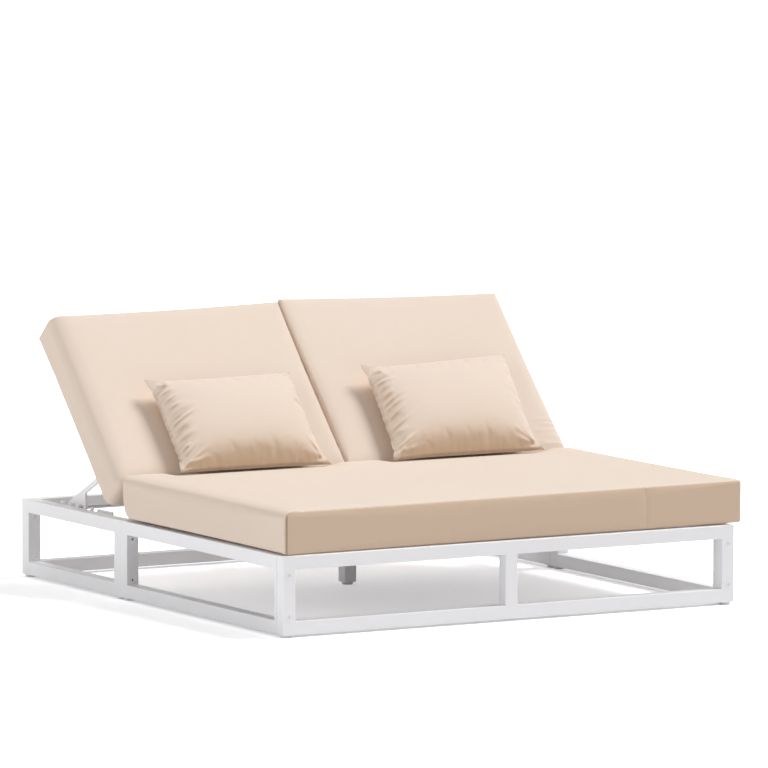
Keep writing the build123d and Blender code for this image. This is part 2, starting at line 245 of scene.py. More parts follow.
@dataclass(frozen=True)
class PowderCoat:
    """A satin powder coat with its fine orange peel, faint unevenness and a little dust low down."""

    name: str
    colour: Colour
    shade: Colour
    roughness: float = 0.4
    peel_scale: float = 520.0
    peel_depth: float = 0.00012
    cloud_scale: float = 4.0
    rub_scale: float = 38.0
    rub_squeeze: Point = (1.0, 1.0, 3.2)
    dust_scale: float = 24.0
    dust_share: float = 0.3
    dust_height: float = 0.07

    def material(self) -> bpy.types.Material:
        """Make the coat on Object coordinates.

        Returns:
            The material.
        """
        material, s = new_material(self.name)
        place = s.place()
        peel = s.noise(place, self.peel_scale, 2.0)
        cloud = s.noise(place, self.cloud_scale, 3.0)
        rub = s.noise(place, self.rub_scale, 4.0, self.rub_squeeze).over(0.6, 0.78)
        height = s.node("ShaderNodeSeparateXYZ", {}, {0: place}, "Z")
        dust = s.noise(place, self.dust_scale, 5.0).over(0.35, 0.8)
        low = (1.0 - height.over(0.0, self.dust_height)) * dust
        tone = s.blend(cloud.over(0.3, 0.75) * 0.5 + low * self.dust_share, self.colour, self.shade)
        rough = peel * 0.1 + rub * 0.08 + low * 0.15 + (self.roughness - 0.05)
        normal = s.bump(peel + cloud * 0.3, 0.5, self.peel_depth)
        s.finish(Base_Color=tone, Roughness=rough, Normal=normal, Coat_Weight=0.12, Coat_Roughness=0.3)
        return material


@dataclass(frozen=True)
class BrushedSteel:
    """Stainless steel with turning marks round its pins and bars."""

    name: str
    colour: Colour
    shade: Colour
    roughness: float = 0.32
    grain_scale: float = 60.0
    grain_squeeze: Point = (40.0, 1.0, 1.0)
    grain_depth: float = 0.00005
    cloud_scale: float = 30.0

    def material(self) -> bpy.types.Material:
        """Make the steel on Object coordinates.

        Returns:
            The material.
        """
        material, s = new_material(self.name)
        place = s.place()
        grain = s.noise(place, self.grain_scale, 3.0, self.grain_squeeze)
        cloud = s.noise(place, self.cloud_scale, 2.0)
        tone = s.blend(grain * 0.6 + cloud * 0.4, self.colour, self.shade)
        normal = s.bump(grain, 0.4, self.grain_depth)
        s.finish(Base_Color=tone, Roughness=grain * 0.16 + self.roughness, Metallic=1.0, Normal=normal)
        return material


@dataclass(frozen=True)
class MouldedPlastic:
    """Polyethylene with a fine spark-eroded grain and scuffs towards the floor."""

    name: str
    colour: Colour
    shade: Colour
    roughness: float = 0.5
    grain_scale: float = 1400.0
    grain_depth: float = 0.00006
    scuff_scale: float = 160.0
    scuff_squeeze: Point = (1.0, 1.0, 0.3)
    scuff_heights: tuple[float, float] = (0.001, 0.007)

    def material(self) -> bpy.types.Material:
        """Make the plastic on Object coordinates.

        Returns:
            The material.
        """
        material, s = new_material(self.name)
        place = s.place()
        grain = s.noise(place, self.grain_scale, 1.0)
        scuff = s.noise(place, self.scuff_scale, 4.0, self.scuff_squeeze).over(0.55, 0.72)
        height = s.node("ShaderNodeSeparateXYZ", {}, {0: place}, "Z")
        worn = scuff * (1.0 - height.over(*self.scuff_heights))
        tone = s.blend(worn * 0.6, self.colour, self.shade)
        rough = grain * 0.14 + worn * 0.2 + self.roughness
        s.finish(Base_Color=tone, Roughness=rough, Normal=s.bump(grain, 0.5, self.grain_depth))
        return material


@dataclass(frozen=True)
class OutdoorCloth:
    """Solution-dyed outdoor cloth: a plain weave with uneven yarns, on the pieces' own cloth map."""

    name: str
    colour: Colour
    shade: Colour
    # The colour of painted shade, blended in where a piece's faces turn from the light.
    border: Colour
    # The seam colour: a darker seam line, partly painted shade in the seam's crease.
    seam: Colour
    pitch: float = 0.0012
    relief: float = 0.00022
    yarn_scale: float = 700.0
    yarn_run: float = 9.0
    mottle_scale: float = 34.0
    cloud_scale: float = 2.6
    roughness: float = 0.72

    def material(self) -> bpy.types.Material:
        """Make the cloth on the map and the attributes that each padded piece carries.

        Returns:
            The material.
        """
        material, s = new_material(self.name)
        cloth = s.node("ShaderNodeUVMap", {"uv_map": "cloth"}, {})
        parts = s.raw("ShaderNodeSeparateXYZ", {}, {0: cloth})
        across, along = Wire(s, parts.outputs["X"]), Wire(s, parts.outputs["Y"])
        turns = 2.0 * math.pi / self.pitch
        knots = (across * turns).sine() * (along * turns).sine()
        warp = s.noise(cloth, 1.0, 2.0, (self.yarn_scale, self.yarn_run, 1.0))
        weft = s.noise(cloth, 1.0, 2.0, (self.yarn_run, self.yarn_scale, 1.0))
        yarn = warp * 0.5 + weft * 0.5
        mottle = s.noise(cloth, self.mottle_scale, 3.0)
        cloud = s.noise(cloth, self.cloud_scale, 2.0)
        deep = yarn.over(0.3, 0.8) * 0.42 + mottle * 0.2 + cloud * 0.38
        tone = s.blend(deep, self.colour, self.shade)
        # Painted shade: the attribute read here blends in the painted-shade colour on faces that turn from the
        # light.
        panel = s.node("ShaderNodeAttribute", {"attribute_name": "panel"}, {}, "Fac")
        tone = s.blend(panel, tone, self.border)
        # The seam attribute blends in the seam colour: the seam's own line, partly painted shade in its crease.
        seam = s.node("ShaderNodeAttribute", {"attribute_name": "seam"}, {}, "Fac")
        tone = s.blend(seam, tone, self.seam)
        rough = yarn * 0.16 + mottle * 0.1 + (self.roughness - 0.13)
        normal = s.bump(knots * 0.35 + yarn * 0.9 + mottle * 0.5, 0.45, self.relief)
        s.finish(Base_Color=tone, Roughness=rough, Normal=normal, Sheen_Weight=0.18, Sheen_Roughness=0.45,
                 Specular_IOR_Level=0.35)
        return material


@dataclass(frozen=True)
class SewingThread:
    """Polyester thread of the cushion seams, twisted and a little darker than the cloth."""

    name: str
    colour: Colour
    shade: Colour
    twist_scale: float = 1800.0
    twist_depth: float = 0.0001

    def material(self) -> bpy.types.Material:
        """Make the thread on Object coordinates.

        Returns:
            The material.
        """
        material, s = new_material(self.name)
        place = s.place()
        twist = s.noise(place, self.twist_scale, 2.0)
        s.finish(Base_Color=s.blend(twist, self.colour, self.shade), Roughness=twist * 0.2 + 0.5,
                 Normal=s.bump(twist, 0.4, self.twist_depth))
        return material


@dataclass
class Finishes:
    """Every finish of the lounger, made once."""

    frame_coat: bpy.types.Material = field(default_factory=PowderCoat(
        "frame_powder_coat", colour=(0.902, 0.894, 0.909), shade=(0.87, 0.86, 0.875)).material)
    slat_coat: bpy.types.Material = field(default_factory=PowderCoat(
        "slat_powder_coat", colour=(0.87, 0.86, 0.87), shade=(0.8, 0.79, 0.8),
        roughness=0.46, peel_scale=380.0).material)
    bolt_coat: bpy.types.Material = field(default_factory=PowderCoat(
        "screw_powder_coat", colour=(0.82, 0.81, 0.825), shade=(0.7, 0.69, 0.7),
        roughness=0.36, peel_scale=900.0).material)
    pin_steel: bpy.types.Material = field(default_factory=BrushedSteel(
        "pin_steel", colour=(0.62, 0.62, 0.63), shade=(0.45, 0.45, 0.46)).material)
    glide_plastic: bpy.types.Material = field(default_factory=MouldedPlastic(
        "glide_plastic", colour=(0.8, 0.79, 0.8), shade=(0.52, 0.51, 0.5)).material)
    # Each cloth's third colour is painted shade, for the seat cushion's front faces and the pillows' down-turned
    # lower parts.
    cushion_cloth: bpy.types.Material = field(default_factory=OutdoorCloth(
        "cushion_cloth", colour=(0.845, 0.715, 0.61), shade=(0.783, 0.648, 0.533),
        border=(0.665, 0.505, 0.372), seam=(0.36, 0.25, 0.17)).material)
    # The pillow's seam colour also draws a painted shadow line along its lower seam.
    pillow_cloth: bpy.types.Material = field(default_factory=OutdoorCloth(
        "pillow_cloth", colour=(0.845, 0.715, 0.61), shade=(0.775, 0.638, 0.524),
        border=(0.64, 0.482, 0.338), seam=(0.42, 0.3, 0.21)).material)
    thread: bpy.types.Material = field(default_factory=SewingThread(
        "cushion_thread", colour=(0.56, 0.43, 0.32), shade=(0.4, 0.29, 0.2)).material)

    def dress_frame(self) -> None:
        """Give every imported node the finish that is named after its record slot."""
        for row in frame["record"]["subparts"]:
            for place in frame["nodes"][row["node"]].material_slots:
                place.material = getattr(self, row["material_slot"])
        LOG.info("coated %d packed nodes", len(frame["nodes"]))


def add_object(name: str, data: Any) -> bpy.types.Object:
    """Make an object and put it in the scene.

    Args:
        name: The object's name.
        data: Its mesh, lamp or camera.

    Returns:
        The object.
    """
    made = bpy.data.objects.new(name, data)
    bpy.context.scene.collection.objects.link(made)
    return made


def new_object(name: str, points: Sequence[Any], faces: Sequence[Sequence[int]],
               edges: Sequence[tuple[int, int]] = ()) -> bpy.types.Object:
    """Make a smooth mesh object at the origin.

    Args:
        name: The piece's name.
        points: Its vertices.
        faces: The vertex numbers of each face.
        edges: The vertex numbers of each loose edge.

    Returns:
        The linked object.
    """
    mesh = bpy.data.meshes.new(name)
    mesh.from_pydata([tuple(p) for p in points], edges, [tuple(int(i) for i in f) for f in faces])
    mesh.shade_smooth()
    return add_object(name, mesh)


def read(rows: Any, key: str, width: int = 3, kind: type = float) -> np.ndarray:
    """Read one property of a mesh's elements.

    Args:
        rows: The mesh's vertices, loops or polygons.
        key: The property's name.
        width: How many numbers each element has.
        kind: Whether they are floats or whole numbers.

    Returns:
        A row of numbers for each element.
    """
    flat = np.zeros(len(rows) * width, kind)
    rows.foreach_get(key, flat)
    return flat.reshape(-1, width)


def set_points(mesh: bpy.types.Mesh, points: np.ndarray) -> None:
    """Write a mesh's vertices."""
    mesh.vertices.foreach_set("co", points.ravel())
    mesh.update()


def close_up(piece: bpy.types.Object, gap: float = 1e-6) -> None:
    """Merge doubled points and turn every face outwards.

    Args:
        piece: A mesh object of closed shells.
        gap: How close doubled points lie.
    """
    work = bmesh.new()
    work.from_mesh(piece.data)
    bmesh.ops.remove_doubles(work, verts=work.verts, dist=gap)
    bmesh.ops.recalc_face_normals(work, faces=work.faces)
    work.to_mesh(piece.data)
    work.free()


def plain_mesh(piece: bpy.types.Object) -> None:
    """Turn what a piece's modifiers make into its own mesh, and remove them.

    Args:
        piece: A mesh object with modifiers.
    """
    graph = bpy.context.evaluated_depsgraph_get()
    made = bpy.data.meshes.new_from_object(piece.evaluated_get(graph))
    old = piece.data
    piece.modifiers.clear()
    piece.data = made
    bpy.data.meshes.remove(old)
    made.name = piece.name


def grid_lines(length: float, pitch: float, near: Sequence[float]) -> np.ndarray:
    """Space a grid's lines along one axis, close together at both ends.

    Args:
        length: The axis's length.
        pitch: About how far apart the lines between the ends are.
        near: The lines at one end, from 0.

    Returns:
        The places of all lines, from 0 to length.
    """
    steps = max(2, round((length - 2 * near[-1]) / pitch))
    middle = np.linspace(near[-1], length - near[-1], steps + 1)
    return np.concatenate([near, middle[1:-1], length - np.array(near)[::-1]])


def quads(numbers: np.ndarray, flip: bool = False) -> list[np.ndarray]:
    """Join a grid of vertices by quads.

    Args:
        numbers: The vertex numbers in rows and columns.
        flip: Whether the quads are turned over.

    Returns:
        The vertex numbers of each quad.
    """
    ring = [numbers[:-1, :-1], numbers[1:, :-1], numbers[1:, 1:], numbers[:-1, 1:]]
    faces = np.stack(ring[::-1] if flip else ring, -1).reshape(-1, 4)
    return list(faces)


def smooth(value: np.ndarray, low: float, high: float) -> np.ndarray:
    """Return 0 below low, 1 above high and a smooth rise between them."""
    share = np.clip((value - low) / (high - low), 0, 1)
    return share * share * (3 - 2 * share)


@dataclass
class Lean:
    """Where a soft piece lies: its own axes run across, up its slope and out of it."""

    origin: Point
    angle: float

    @property
    def turn(self) -> np.ndarray:
        """Return the matrix that turns rows of points from the piece's own axes to the lounger's."""
        c, s = math.cos(self.angle), math.sin(self.angle)
        return np.array([[1, 0, 0], [0, c, s], [0, -s, c]])

    def to_frame(self, points: np.ndarray) -> np.ndarray:
        """Return points of the piece's own axes in the lounger's frame."""
        return points @ self.turn + np.array(self.origin)

    def to_piece(self, points: np.ndarray) -> np.ndarray:
        """Return points of the lounger's frame in the piece's own axes."""
        return (points - np.array(self.origin)) @ self.turn.T


@dataclass
class ClothPass:
    """One simulated swelling of a padded piece, its cloth held at its pinned points."""

    pressure: float = 4.0
    slack: float = 0.01
    bending: float = 0.25
    most: float = 0.006
    mass: float = 0.3
    stretch: float = 18.0
    shear: float = 6.0
    quality: int = 5
    last_frame: int = 20

    def start(self, piece: bpy.types.Object, pinned: np.ndarray) -> None:
        """Put the cloth on a piece.

        Args:
            piece: The padded piece, its mesh in place.
            pinned: How firmly each vertex is held, from 0 to 1.
        """
        group = piece.vertex_groups.new(name="held")
        for weight in np.unique(pinned[pinned > 0]):
            group.add([int(i) for i in np.flatnonzero(pinned == weight)], float(weight), "REPLACE")
        cloth = piece.modifiers.new("swelling", "CLOTH")
        settings = cloth.settings
        settings.quality = self.quality
        settings.mass = self.mass
        settings.tension_stiffness = settings.compression_stiffness = self.stretch
        settings.shear_stiffness = self.shear
        settings.bending_stiffness = self.bending
        settings.use_pressure = True
        settings.uniform_pressure_force = self.pressure
        settings.shrink_min = -self.slack
        settings.vertex_group_mass = "held"
        settings.effector_weights.gravity = 0.0
        cloth.collision_settings.use_collision = False
        cloth.point_cache.frame_start = 1
        cloth.point_cache.frame_end = self.last_frame

    def settle(self, piece: bpy.types.Object) -> None:
        """Take the simulated shape into the mesh, each point moved no further than the pass allows.

        Args:
            piece: The padded piece, its simulation run.
        """
        before = read(piece.data.vertices, "co")
        graph = bpy.context.evaluated_depsgraph_get()
        after = read(piece.evaluated_get(graph).data.vertices, "co")
        piece.modifiers.clear()
        piece.vertex_groups.clear()
        step = after - before
        size = np.maximum(np.linalg.norm(step, axis=1, keepdims=True), TINY)
        set_points(piece.data, before + step / size * self.most * np.tanh(size / self.most))


@dataclass(frozen=True)
class CornerSlip:
    """How far the corners of a piece have slipped across, up and out of its cut place."""

    low_left: Point = (0.0, 0.0, 0.0)
    low_right: Point = (0.0, 0.0, 0.0)
    top_left: Point = (0.0, 0.0, 0.0)
    top_right: Point = (0.0, 0.0, 0.0)

    def rows(self) -> list[tuple[float, float, Point]]:
        """Return each corner's side, end and slip."""
        return [(-1.0, -1.0, self.low_left), (1.0, -1.0, self.low_right),
                (-1.0, 1.0, self.top_left), (1.0, 1.0, self.top_right)]

    def stretch(self, points: np.ndarray, long: float, deep: float) -> np.ndarray:
        """Move a whole piece evenly between its four corners.

        Args:
            points: Points in the piece's own axes.
            long: The piece's size across.
            deep: The piece's size up its slope.

        Returns:
            The moved points.
        """
        u = np.clip(2 * points[:, 0] / long, -1, 1)
        v = np.clip(2 * points[:, 1] / deep, -1, 1)
        moved = points.copy()
        for side, end, slip in self.rows():
            moved += ((1 + side * u) * (1 + end * v) / 4)[:, None] * np.array(slip)
        return moved

    def pull(self, points: np.ndarray, long: float, deep: float, reach: float) -> np.ndarray:
        """Move only the tips at the four corners.

        Args:
            points: Points in the piece's own axes.
            long: The piece's size across.
            deep: The piece's size up its slope.
            reach: How far in from a corner its pull is felt.

        Returns:
            The moved points.
        """
        moved = points.copy()
        for side, end, slip in self.rows():
            far = np.hypot(points[:, 0] - side * long / 2, points[:, 1] - end * deep / 2)
            moved += np.exp(-(far / reach) ** 2)[:, None] * np.array(slip)
        return moved


@dataclass
class Fold:
    """A gather in cloth, a ridge with a valley beside it, from where it starts to where it runs out."""

    start: tuple[float, float]
    way: tuple[float, float]
    length: float
    width: float
    height: float
    valley: float = 0.6
    valley_off: float = 1.7
    narrow: float = 0.7
    flare: float = 0.8
    fade_in: float = 0.3
    fade_out: float = 1.2
    gain: float = 1.8

    def lift(self, across: np.ndarray, along: np.ndarray) -> np.ndarray:
        """Work out how far the fold raises a piece.

        Args:
            across: Where each point lies across the piece.
            along: Where each point lies up its slope.

        Returns:
            The rise of each point, less than 0 in the valley.
        """
        size = math.hypot(*self.way)
        way = (self.way[0] / size, self.way[1] / size)
        dx, dy = across - self.start[0], along - self.start[1]
        run = (dx * way[0] + dy * way[1]) / self.length
        inside = np.clip(run, 0, 1)
        off = (-dx * way[1] + dy * way[0]) / (self.width * (self.narrow + self.flare * inside))
        body = inside ** self.fade_in * (1 - inside) ** self.fade_out * self.gain
        form = np.exp(-off * off) - self.valley * np.exp(-(off - self.valley_off) ** 2)
        return np.where((run > 0) & (run < 1), self.height * body * form, 0.0)


@dataclass(frozen=True)
class GatherSizes:
    """How long, wide and high the gathers of a seam are, each from its least to its most."""

    length: tuple[float, float]
    width: tuple[float, float]
    height: tuple[float, float]

    def fold(self, rng: np.random.Generator, start: tuple[float, float], way: tuple[float, float],
             share: float = 1.0) -> Fold:
        """Return one gather of a drawn size, its height lowered to a share."""
        length, width = rng.uniform(*self.length), rng.uniform(*self.width)
        return Fold(start, way, length, width, rng.uniform(*self.height) * share)


@dataclass
class SoftPiece:
    """A padded piece between its first mesh and its finished one."""

    name: str
    body: str
    node: str
    slot: str
    lean: Lean
    fill: float
    cloth: ClothPass
    slip: CornerSlip = field(default_factory=CornerSlip)
    folds: list[Fold] = field(default_factory=list)
    piece: bpy.types.Object | None = None
    pinned: np.ndarray | None = None

    def shape(self) -> None:
        """Build the first mesh. Each kind of piece has its own."""
        raise NotImplementedError

    def tailor(self, points: np.ndarray) -> np.ndarray:
        """Return the finished points in the piece's own axes. Each kind of piece has its own."""
        return points

    def mark_seams(self, values: np.ndarray) -> None:
        """Write how much seam colour each vertex gets, from 0 to 1; it is partly painted shade."""
        mark = self.piece.data.attributes.new("seam", "FLOAT", "POINT")
        mark.data.foreach_set("value", values.astype(np.float32))

    def finish(self, material: bpy.types.Material) -> None:
        """Subdivide, tailor, map and dress the piece, and hand it to its body.

        Args:
            material: The cloth that covers it.
        """
        divide = self.piece.modifiers.new("finer", "SUBSURF")
        divide.levels = divide.render_levels = 1
        plain_mesh(self.piece)
        mesh = self.piece.data
        own = self.lean.to_piece(read(mesh.vertices, "co"))
        set_points(mesh, self.lean.to_frame(self.tailor(own)))
        mesh.shade_smooth()
        self.map_cloth(mesh)
        mesh.materials.clear()
        mesh.materials.append(material)
        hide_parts(self.node)
        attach(self.piece, self.body)
        LOG.info("%s: %d faces", self.name, len(mesh.polygons))

    def map_cloth(self, mesh: bpy.types.Mesh) -> None:
        """Lay the cloth on each side in metres, and mark how much painted shade each vertex gets.

        Args:
            mesh: The piece's finished mesh.
        """
        own = self.lean.to_piece(read(mesh.vertices, "co"))
        axis = np.abs(read(mesh.polygons, "normal") @ self.lean.turn.T).argmax(1)
        sides = read(mesh.polygons, "loop_total", 1, int)[:, 0]
        loop_axis = np.repeat(axis, sides)
        rows = own[read(mesh.loops, "vertex_index", 1, int)[:, 0]]
        count = np.arange(len(rows))
        first, second = np.array([1, 0, 0])[loop_axis], np.array([2, 2, 1])[loop_axis]
        spots = np.stack([rows[count, first], rows[count, second]], 1)
        layer = mesh.uv_layers.new(name="cloth")
        layer.data.foreach_set("uv", (spots + self.cloth_shift()).ravel())
        # Painted shade: a share from each vertex's normal, which the cloth turns into its painted-shade colour.
        shares = self.panels(read(mesh.vertices, "normal") @ self.lean.turn.T)
        panel = mesh.attributes.new("panel", "FLOAT", "POINT")
        panel.data.foreach_set("value", shares.astype(np.float32))

    def cloth_shift(self) -> np.ndarray:
        """Return where the piece was cut from the roll, so that no two pieces match."""
        return np.array([0.37, 0.61]) * (1 + sum(map(ord, self.name)) % 17)

    def panels(self, normals: np.ndarray) -> np.ndarray:
        """Return how much painted shade each vertex gets, by its normal in the piece's own axes."""
        return np.zeros(len(normals))


@dataclass
class BoxedCushion(SoftPiece):
    """A boxed cushion: one cloth over its top and sides, sewn at its upright corners and round its base."""

    size: Point = (1.0, 1.0, 0.15)
    crown: float = 0.008
    crown_reach: float = 0.25
    crown_power: float = 0.9
    level_power: int = 6
    draw: float = 0.004
    draw_power: int = 3
    rounding: tuple[tuple[float, float], ...] = ((0.018, 0.018), (0.012, 0.012), (0.006, 0.014))
    soft_edges: tuple[float, float] | None = None
    edge_lines: tuple[float, ...] = (0.0, 0.0022, 0.005, 0.0085, 0.013, 0.019, 0.027)
    pitch: float = 0.016
    upright_pitch: float = 0.012
    seamed_low: bool = True
    unsewn_rows: int = 5
    seam_width: tuple[float, float] = (0.0008, 0.0046)
    seam_fade: tuple[float, float] = (0.004, 0.016)
    corner_valley: float = 0.0028
    base_valley: float = 0.0015
    base_mark: float = 0.6
    joins: tuple[float, ...] = ()
    join_lines: tuple[float, ...] = (-0.0045, -0.002, 0.0, 0.002, 0.0045)
    join_clear: float = 0.007
    join_fade: tuple[float, float] = (0.002, 0.012)
    join_valley: float = 0.0012
    join_mark: float = 0.25
    hold_from: float = 0.3
    edge_from: float = 0.05
    edge_hold: float = 0.4
    rim_sag: float = 0.0
    rim_sag_width: tuple[float, float] = (0.004, 0.045)
    rear_tuck: float = 0.0
    rear_tuck_depth: float = 0.05
    rear_tuck_back: float = 0.8
    fold_levels: tuple[float, float] = (0.75, 0.97)
    low_reach: float = 0.0
    corner_reach: float = 0.12
    pressed_at: float | None = None
    press_ease: float = 0.006
    dents: tuple[tuple[float, float], ...] = ()
    dent_depth: float = 0.0105
    dent_reach: tuple[float, float] = (0.2, 0.085)
    dent_ends: tuple[float, float] = (0.05, 0.02)
    dent_levels: tuple[float, float] = (0.4, 1.0)
    # Whether the faces that turn to the front get painted shade.
    shade_front: bool = False
    shade_turn: tuple[float, float] = (0.5, 0.95)
    seam_runs: list[list[int]] = field(default_factory=list)

    def lines(self) -> list[np.ndarray]:
        """Space the grid's lines, close together at the edges and at the joins of the side band.

        Returns:
            The places of the lines across, up the slope and out of it.
        """
        long, deep, high = self.size
        across = grid_lines(long, self.pitch, self.edge_lines) - long / 2
        along = grid_lines(deep, self.pitch, self.edge_lines) - deep / 2
        for join in self.joins:
            kept = across[np.abs(across - join) > self.join_clear]
            across = np.sort(np.concatenate([kept, join + np.array(self.join_lines)]))
        return [across, along, grid_lines(high, self.upright_pitch, self.edge_lines)]

    def rounded(self, box: np.ndarray) -> tuple[np.ndarray, np.ndarray, np.ndarray]:
        """Find how the cushion turns round its edges.

        Args:
            box: Points on the faces of the sharp box.

        Returns:
            For each point the nearest point of the core, the radii there and the way out of it.
        """
        long, deep, high = self.size
        radii = np.array(self.rounding)
        low = np.array([-long / 2, -deep / 2, 0.0]) + radii[:, 0]
        top = np.tile(np.array([long / 2, deep / 2, high]) - radii[:, 1], (len(box), 1))
        tops = np.tile(radii[:, 1], (len(box), 1))
        if self.soft_edges:
            tops[:, 2] = np.interp(box[:, 0], (-long / 2, long / 2), self.soft_edges)
            top[:, 2] = high - tops[:, 2]
        core = np.minimum(np.maximum(box, low), top)
        scale = np.where(box < core, radii[:, 0], tops)
        out = (box - core) / scale
        out /= np.maximum(np.linalg.norm(out, axis=1, keepdims=True), TINY)
        return core, scale, out

    def seams(self, box: np.ndarray, spots: np.ndarray,
              ends: np.ndarray) -> tuple[np.ndarray, np.ndarray, np.ndarray]:
        """Find how much of a seam each point is.

        Args:
            box: Points on the faces of the sharp box.
            spots: The numbers of the grid lines that each point lies on.
            ends: Whether each of those lines is the first or the last of its axis.

        Returns:
            The shares of the upright corner seams, of the base seam and of the joins in the side band.
        """
        long, deep, high = self.size
        from_corner = np.maximum(long / 2 - np.abs(box[:, 0]), deep / 2 - np.abs(box[:, 1]))
        below = high - box[:, 2]
        corner = (1 - smooth(from_corner, *self.seam_width)) * smooth(below, *self.seam_fade)
        if not self.seamed_low:
            corner *= box[:, 1] > 0
        base = (spots[:, 2] == 0) & (ends[:, 0] | ends[:, 1])
        joined = (spots[:, 1] == 0) * np.isin(box[:, 0], self.joins) * smooth(below, *self.join_fade)
        return corner, base, joined

    def runs(self, numbers: np.ndarray) -> list[list[int]]:
        """Trace the seams that show their thread: round the base and up the sewn corners.

        Args:
            numbers: The vertex number of each place on the grid.

        Returns:
            The vertex numbers along each seam.
        """
        rim = numbers[:, :, 0]
        loop = list(rim[:-1, 0]) + list(rim[-1, :-1]) + list(rim[:0:-1, -1]) + list(rim[0, ::-1])
        seamed_ends = (0, -1) if self.seamed_low else (-1,)
        uprights = [list(numbers[i, j, :-self.unsewn_rows]) for i in (0, -1) for j in seamed_ends]
        return [[int(v) for v in run] for run in [loop, *uprights]]

    def shape(self) -> None:
        """Build the box on its grid, round its edges, sew its seams in and crown its top."""
        lines = self.lines()
        counts = [len(line) for line in lines]
        grid = np.stack(np.meshgrid(*[np.arange(n) for n in counts], indexing="ij"), -1)
        at_end = (grid == 0) | (grid == np.array(counts) - 1)
        on = at_end.any(-1)
        numbers = np.full(counts, -1)
        numbers[on] = np.arange(on.sum())
        spots = grid[on]
        box = np.stack([lines[a][spots[:, a]] for a in range(3)], 1)
        core, scale, out = self.rounded(box)
        corner, base, joined = self.seams(box, spots, at_end[on])
        inward = np.maximum(corner * self.corner_valley, base * self.base_valley)
        inward = np.maximum(inward, joined * self.join_valley)
        points = self.crowned(core + out * (scale - inward[:, None]))
        faces = quads(numbers[:, :, -1]) + quads(numbers[:, :, 0], True)
        faces += quads(numbers[-1, :, :]) + quads(numbers[0, :, :], True)
        faces += quads(numbers[:, 0, :]) + quads(numbers[:, -1, :], True)
        self.piece = new_object(self.name, self.lean.to_frame(points), faces)
        # The corner seams are darkened most and the base seam less: the seam's own line plus painted shade in its
        # crease.
        self.mark_seams(np.maximum(np.maximum(corner, base * self.base_mark), joined * self.join_mark))
        edge = (np.abs(out) > self.edge_from).sum(1) > 1
        held = (corner > self.hold_from) | (spots[:, 2] == 0) | (joined > self.hold_from)
        self.pinned = np.where(held, 1.0, np.where(edge, self.edge_hold, 0.0))
        self.seam_runs = self.runs(numbers)

    def crowned(self, points: np.ndarray) -> np.ndarray:
        """Raise the top to its crown and draw the sides in between the corners.

        Args:
            points: Points in the cushion's own axes.

        Returns:
            The moved points.
        """
        long, deep, high = self.size
        x, y, z = points.T.copy()
        u, v = np.clip(2 * x / long, -1, 1), np.clip(2 * y / deep, -1, 1)
        inset = np.minimum((1 - np.abs(u)) * long, (1 - np.abs(v)) * deep) / 2
        reach = np.clip(inset / self.crown_reach, 0, 1)
        rise = np.sin(reach * math.pi / 2) ** self.crown_power
        level = np.clip(z / high, 0, 1)
        z = z + rise * level ** self.level_power * (self.crown - self.cloth.most)
        x = x - np.sign(u) * np.abs(u) ** self.draw_power * self.draw * (1 - v ** 2)
        y = y - np.sign(v) * np.abs(v) ** self.draw_power * self.draw * (1 - u ** 2)
        return np.stack([x, y, z], 1)

    def tailor(self, points: np.ndarray) -> np.ndarray:
        """Fold, sag and slip the swollen cushion, and keep it within its cut size.

        Args:
            points: Points in the cushion's own axes.

        Returns:
            The moved points.
        """
        long, deep, high = self.size
        half = np.array([long / 2, deep / 2])
        points[:, :2] = np.clip(points[:, :2], -half, half)
        x, y, z = points.T.copy()
        level = np.clip(z / high, 0, 1)
        lift = sum((fold.lift(x, y) for fold in self.folds), np.zeros_like(x))
        lift *= smooth(level, *self.fold_levels)
        inset = np.minimum(half[0] - np.abs(x), half[1] - np.abs(y))
        sag = self.rim_sag * (1 - smooth(inset, *self.rim_sag_width)) * (1 - level) ** 1.5
        tuck = self.rear_tuck * smooth(y, half[1] - self.rear_tuck_depth, half[1]) * (1 - level) ** 3
        tuck *= smooth(np.abs(x), half[0] - self.corner_reach, half[0])
        points[:, 2] = np.clip(z, 0.0, high + self.crown) + lift - sag + tuck - self.dented(points)
        low_end = smooth(-y, half[1] - self.corner_reach, half[1])
        points[:, 1] -= self.low_reach * low_end + tuck * self.rear_tuck_back
        return self.pressed(self.slip.stretch(points, long, deep))

    def dented(self, points: np.ndarray) -> np.ndarray:
        """Work out how far the rear edge gives under the pieces that rest on it.

        Args:
            points: Points in the cushion's own axes.

        Returns:
            The depth of the dents at each point.
        """
        x, y, z = points.T
        rear, (far, close), (outer, inner) = self.size[1] / 2, self.dent_reach, self.dent_ends
        near = smooth(y, rear - far, rear - close) * smooth(z / self.size[2], *self.dent_levels)
        across = sum((smooth(x, start - outer, start + inner) * smooth(-x, -end - outer, -end + inner)
                      for start, end in self.dents), np.zeros_like(x))
        return self.dent_depth * near * across

    def pressed(self, points: np.ndarray) -> np.ndarray:
        """Press the low end back where it meets the piece in front, whose rear face stands upright.

        Args:
            points: Points in the cushion's own axes.

        Returns:
            The moved points.
        """
        if self.pressed_at is None:
            return points
        c, s = math.cos(self.lean.angle), math.sin(self.lean.angle)
        face = (self.pressed_at - self.lean.origin[1] + points[:, 2] * s) / c
        over, ease = face - points[:, 1], self.press_ease
        eased = (over + ease) ** 2 / np.maximum(over + 2 * ease, ease)
        points[:, 1] += np.where(over > -ease, eased, 0.0)
        return points

    def panels(self, normals: np.ndarray) -> np.ndarray:
        """Paint shade on the faces that turn to the front, more as they face it."""
        return smooth(-normals[:, 1], *self.shade_turn) * float(self.shade_front)


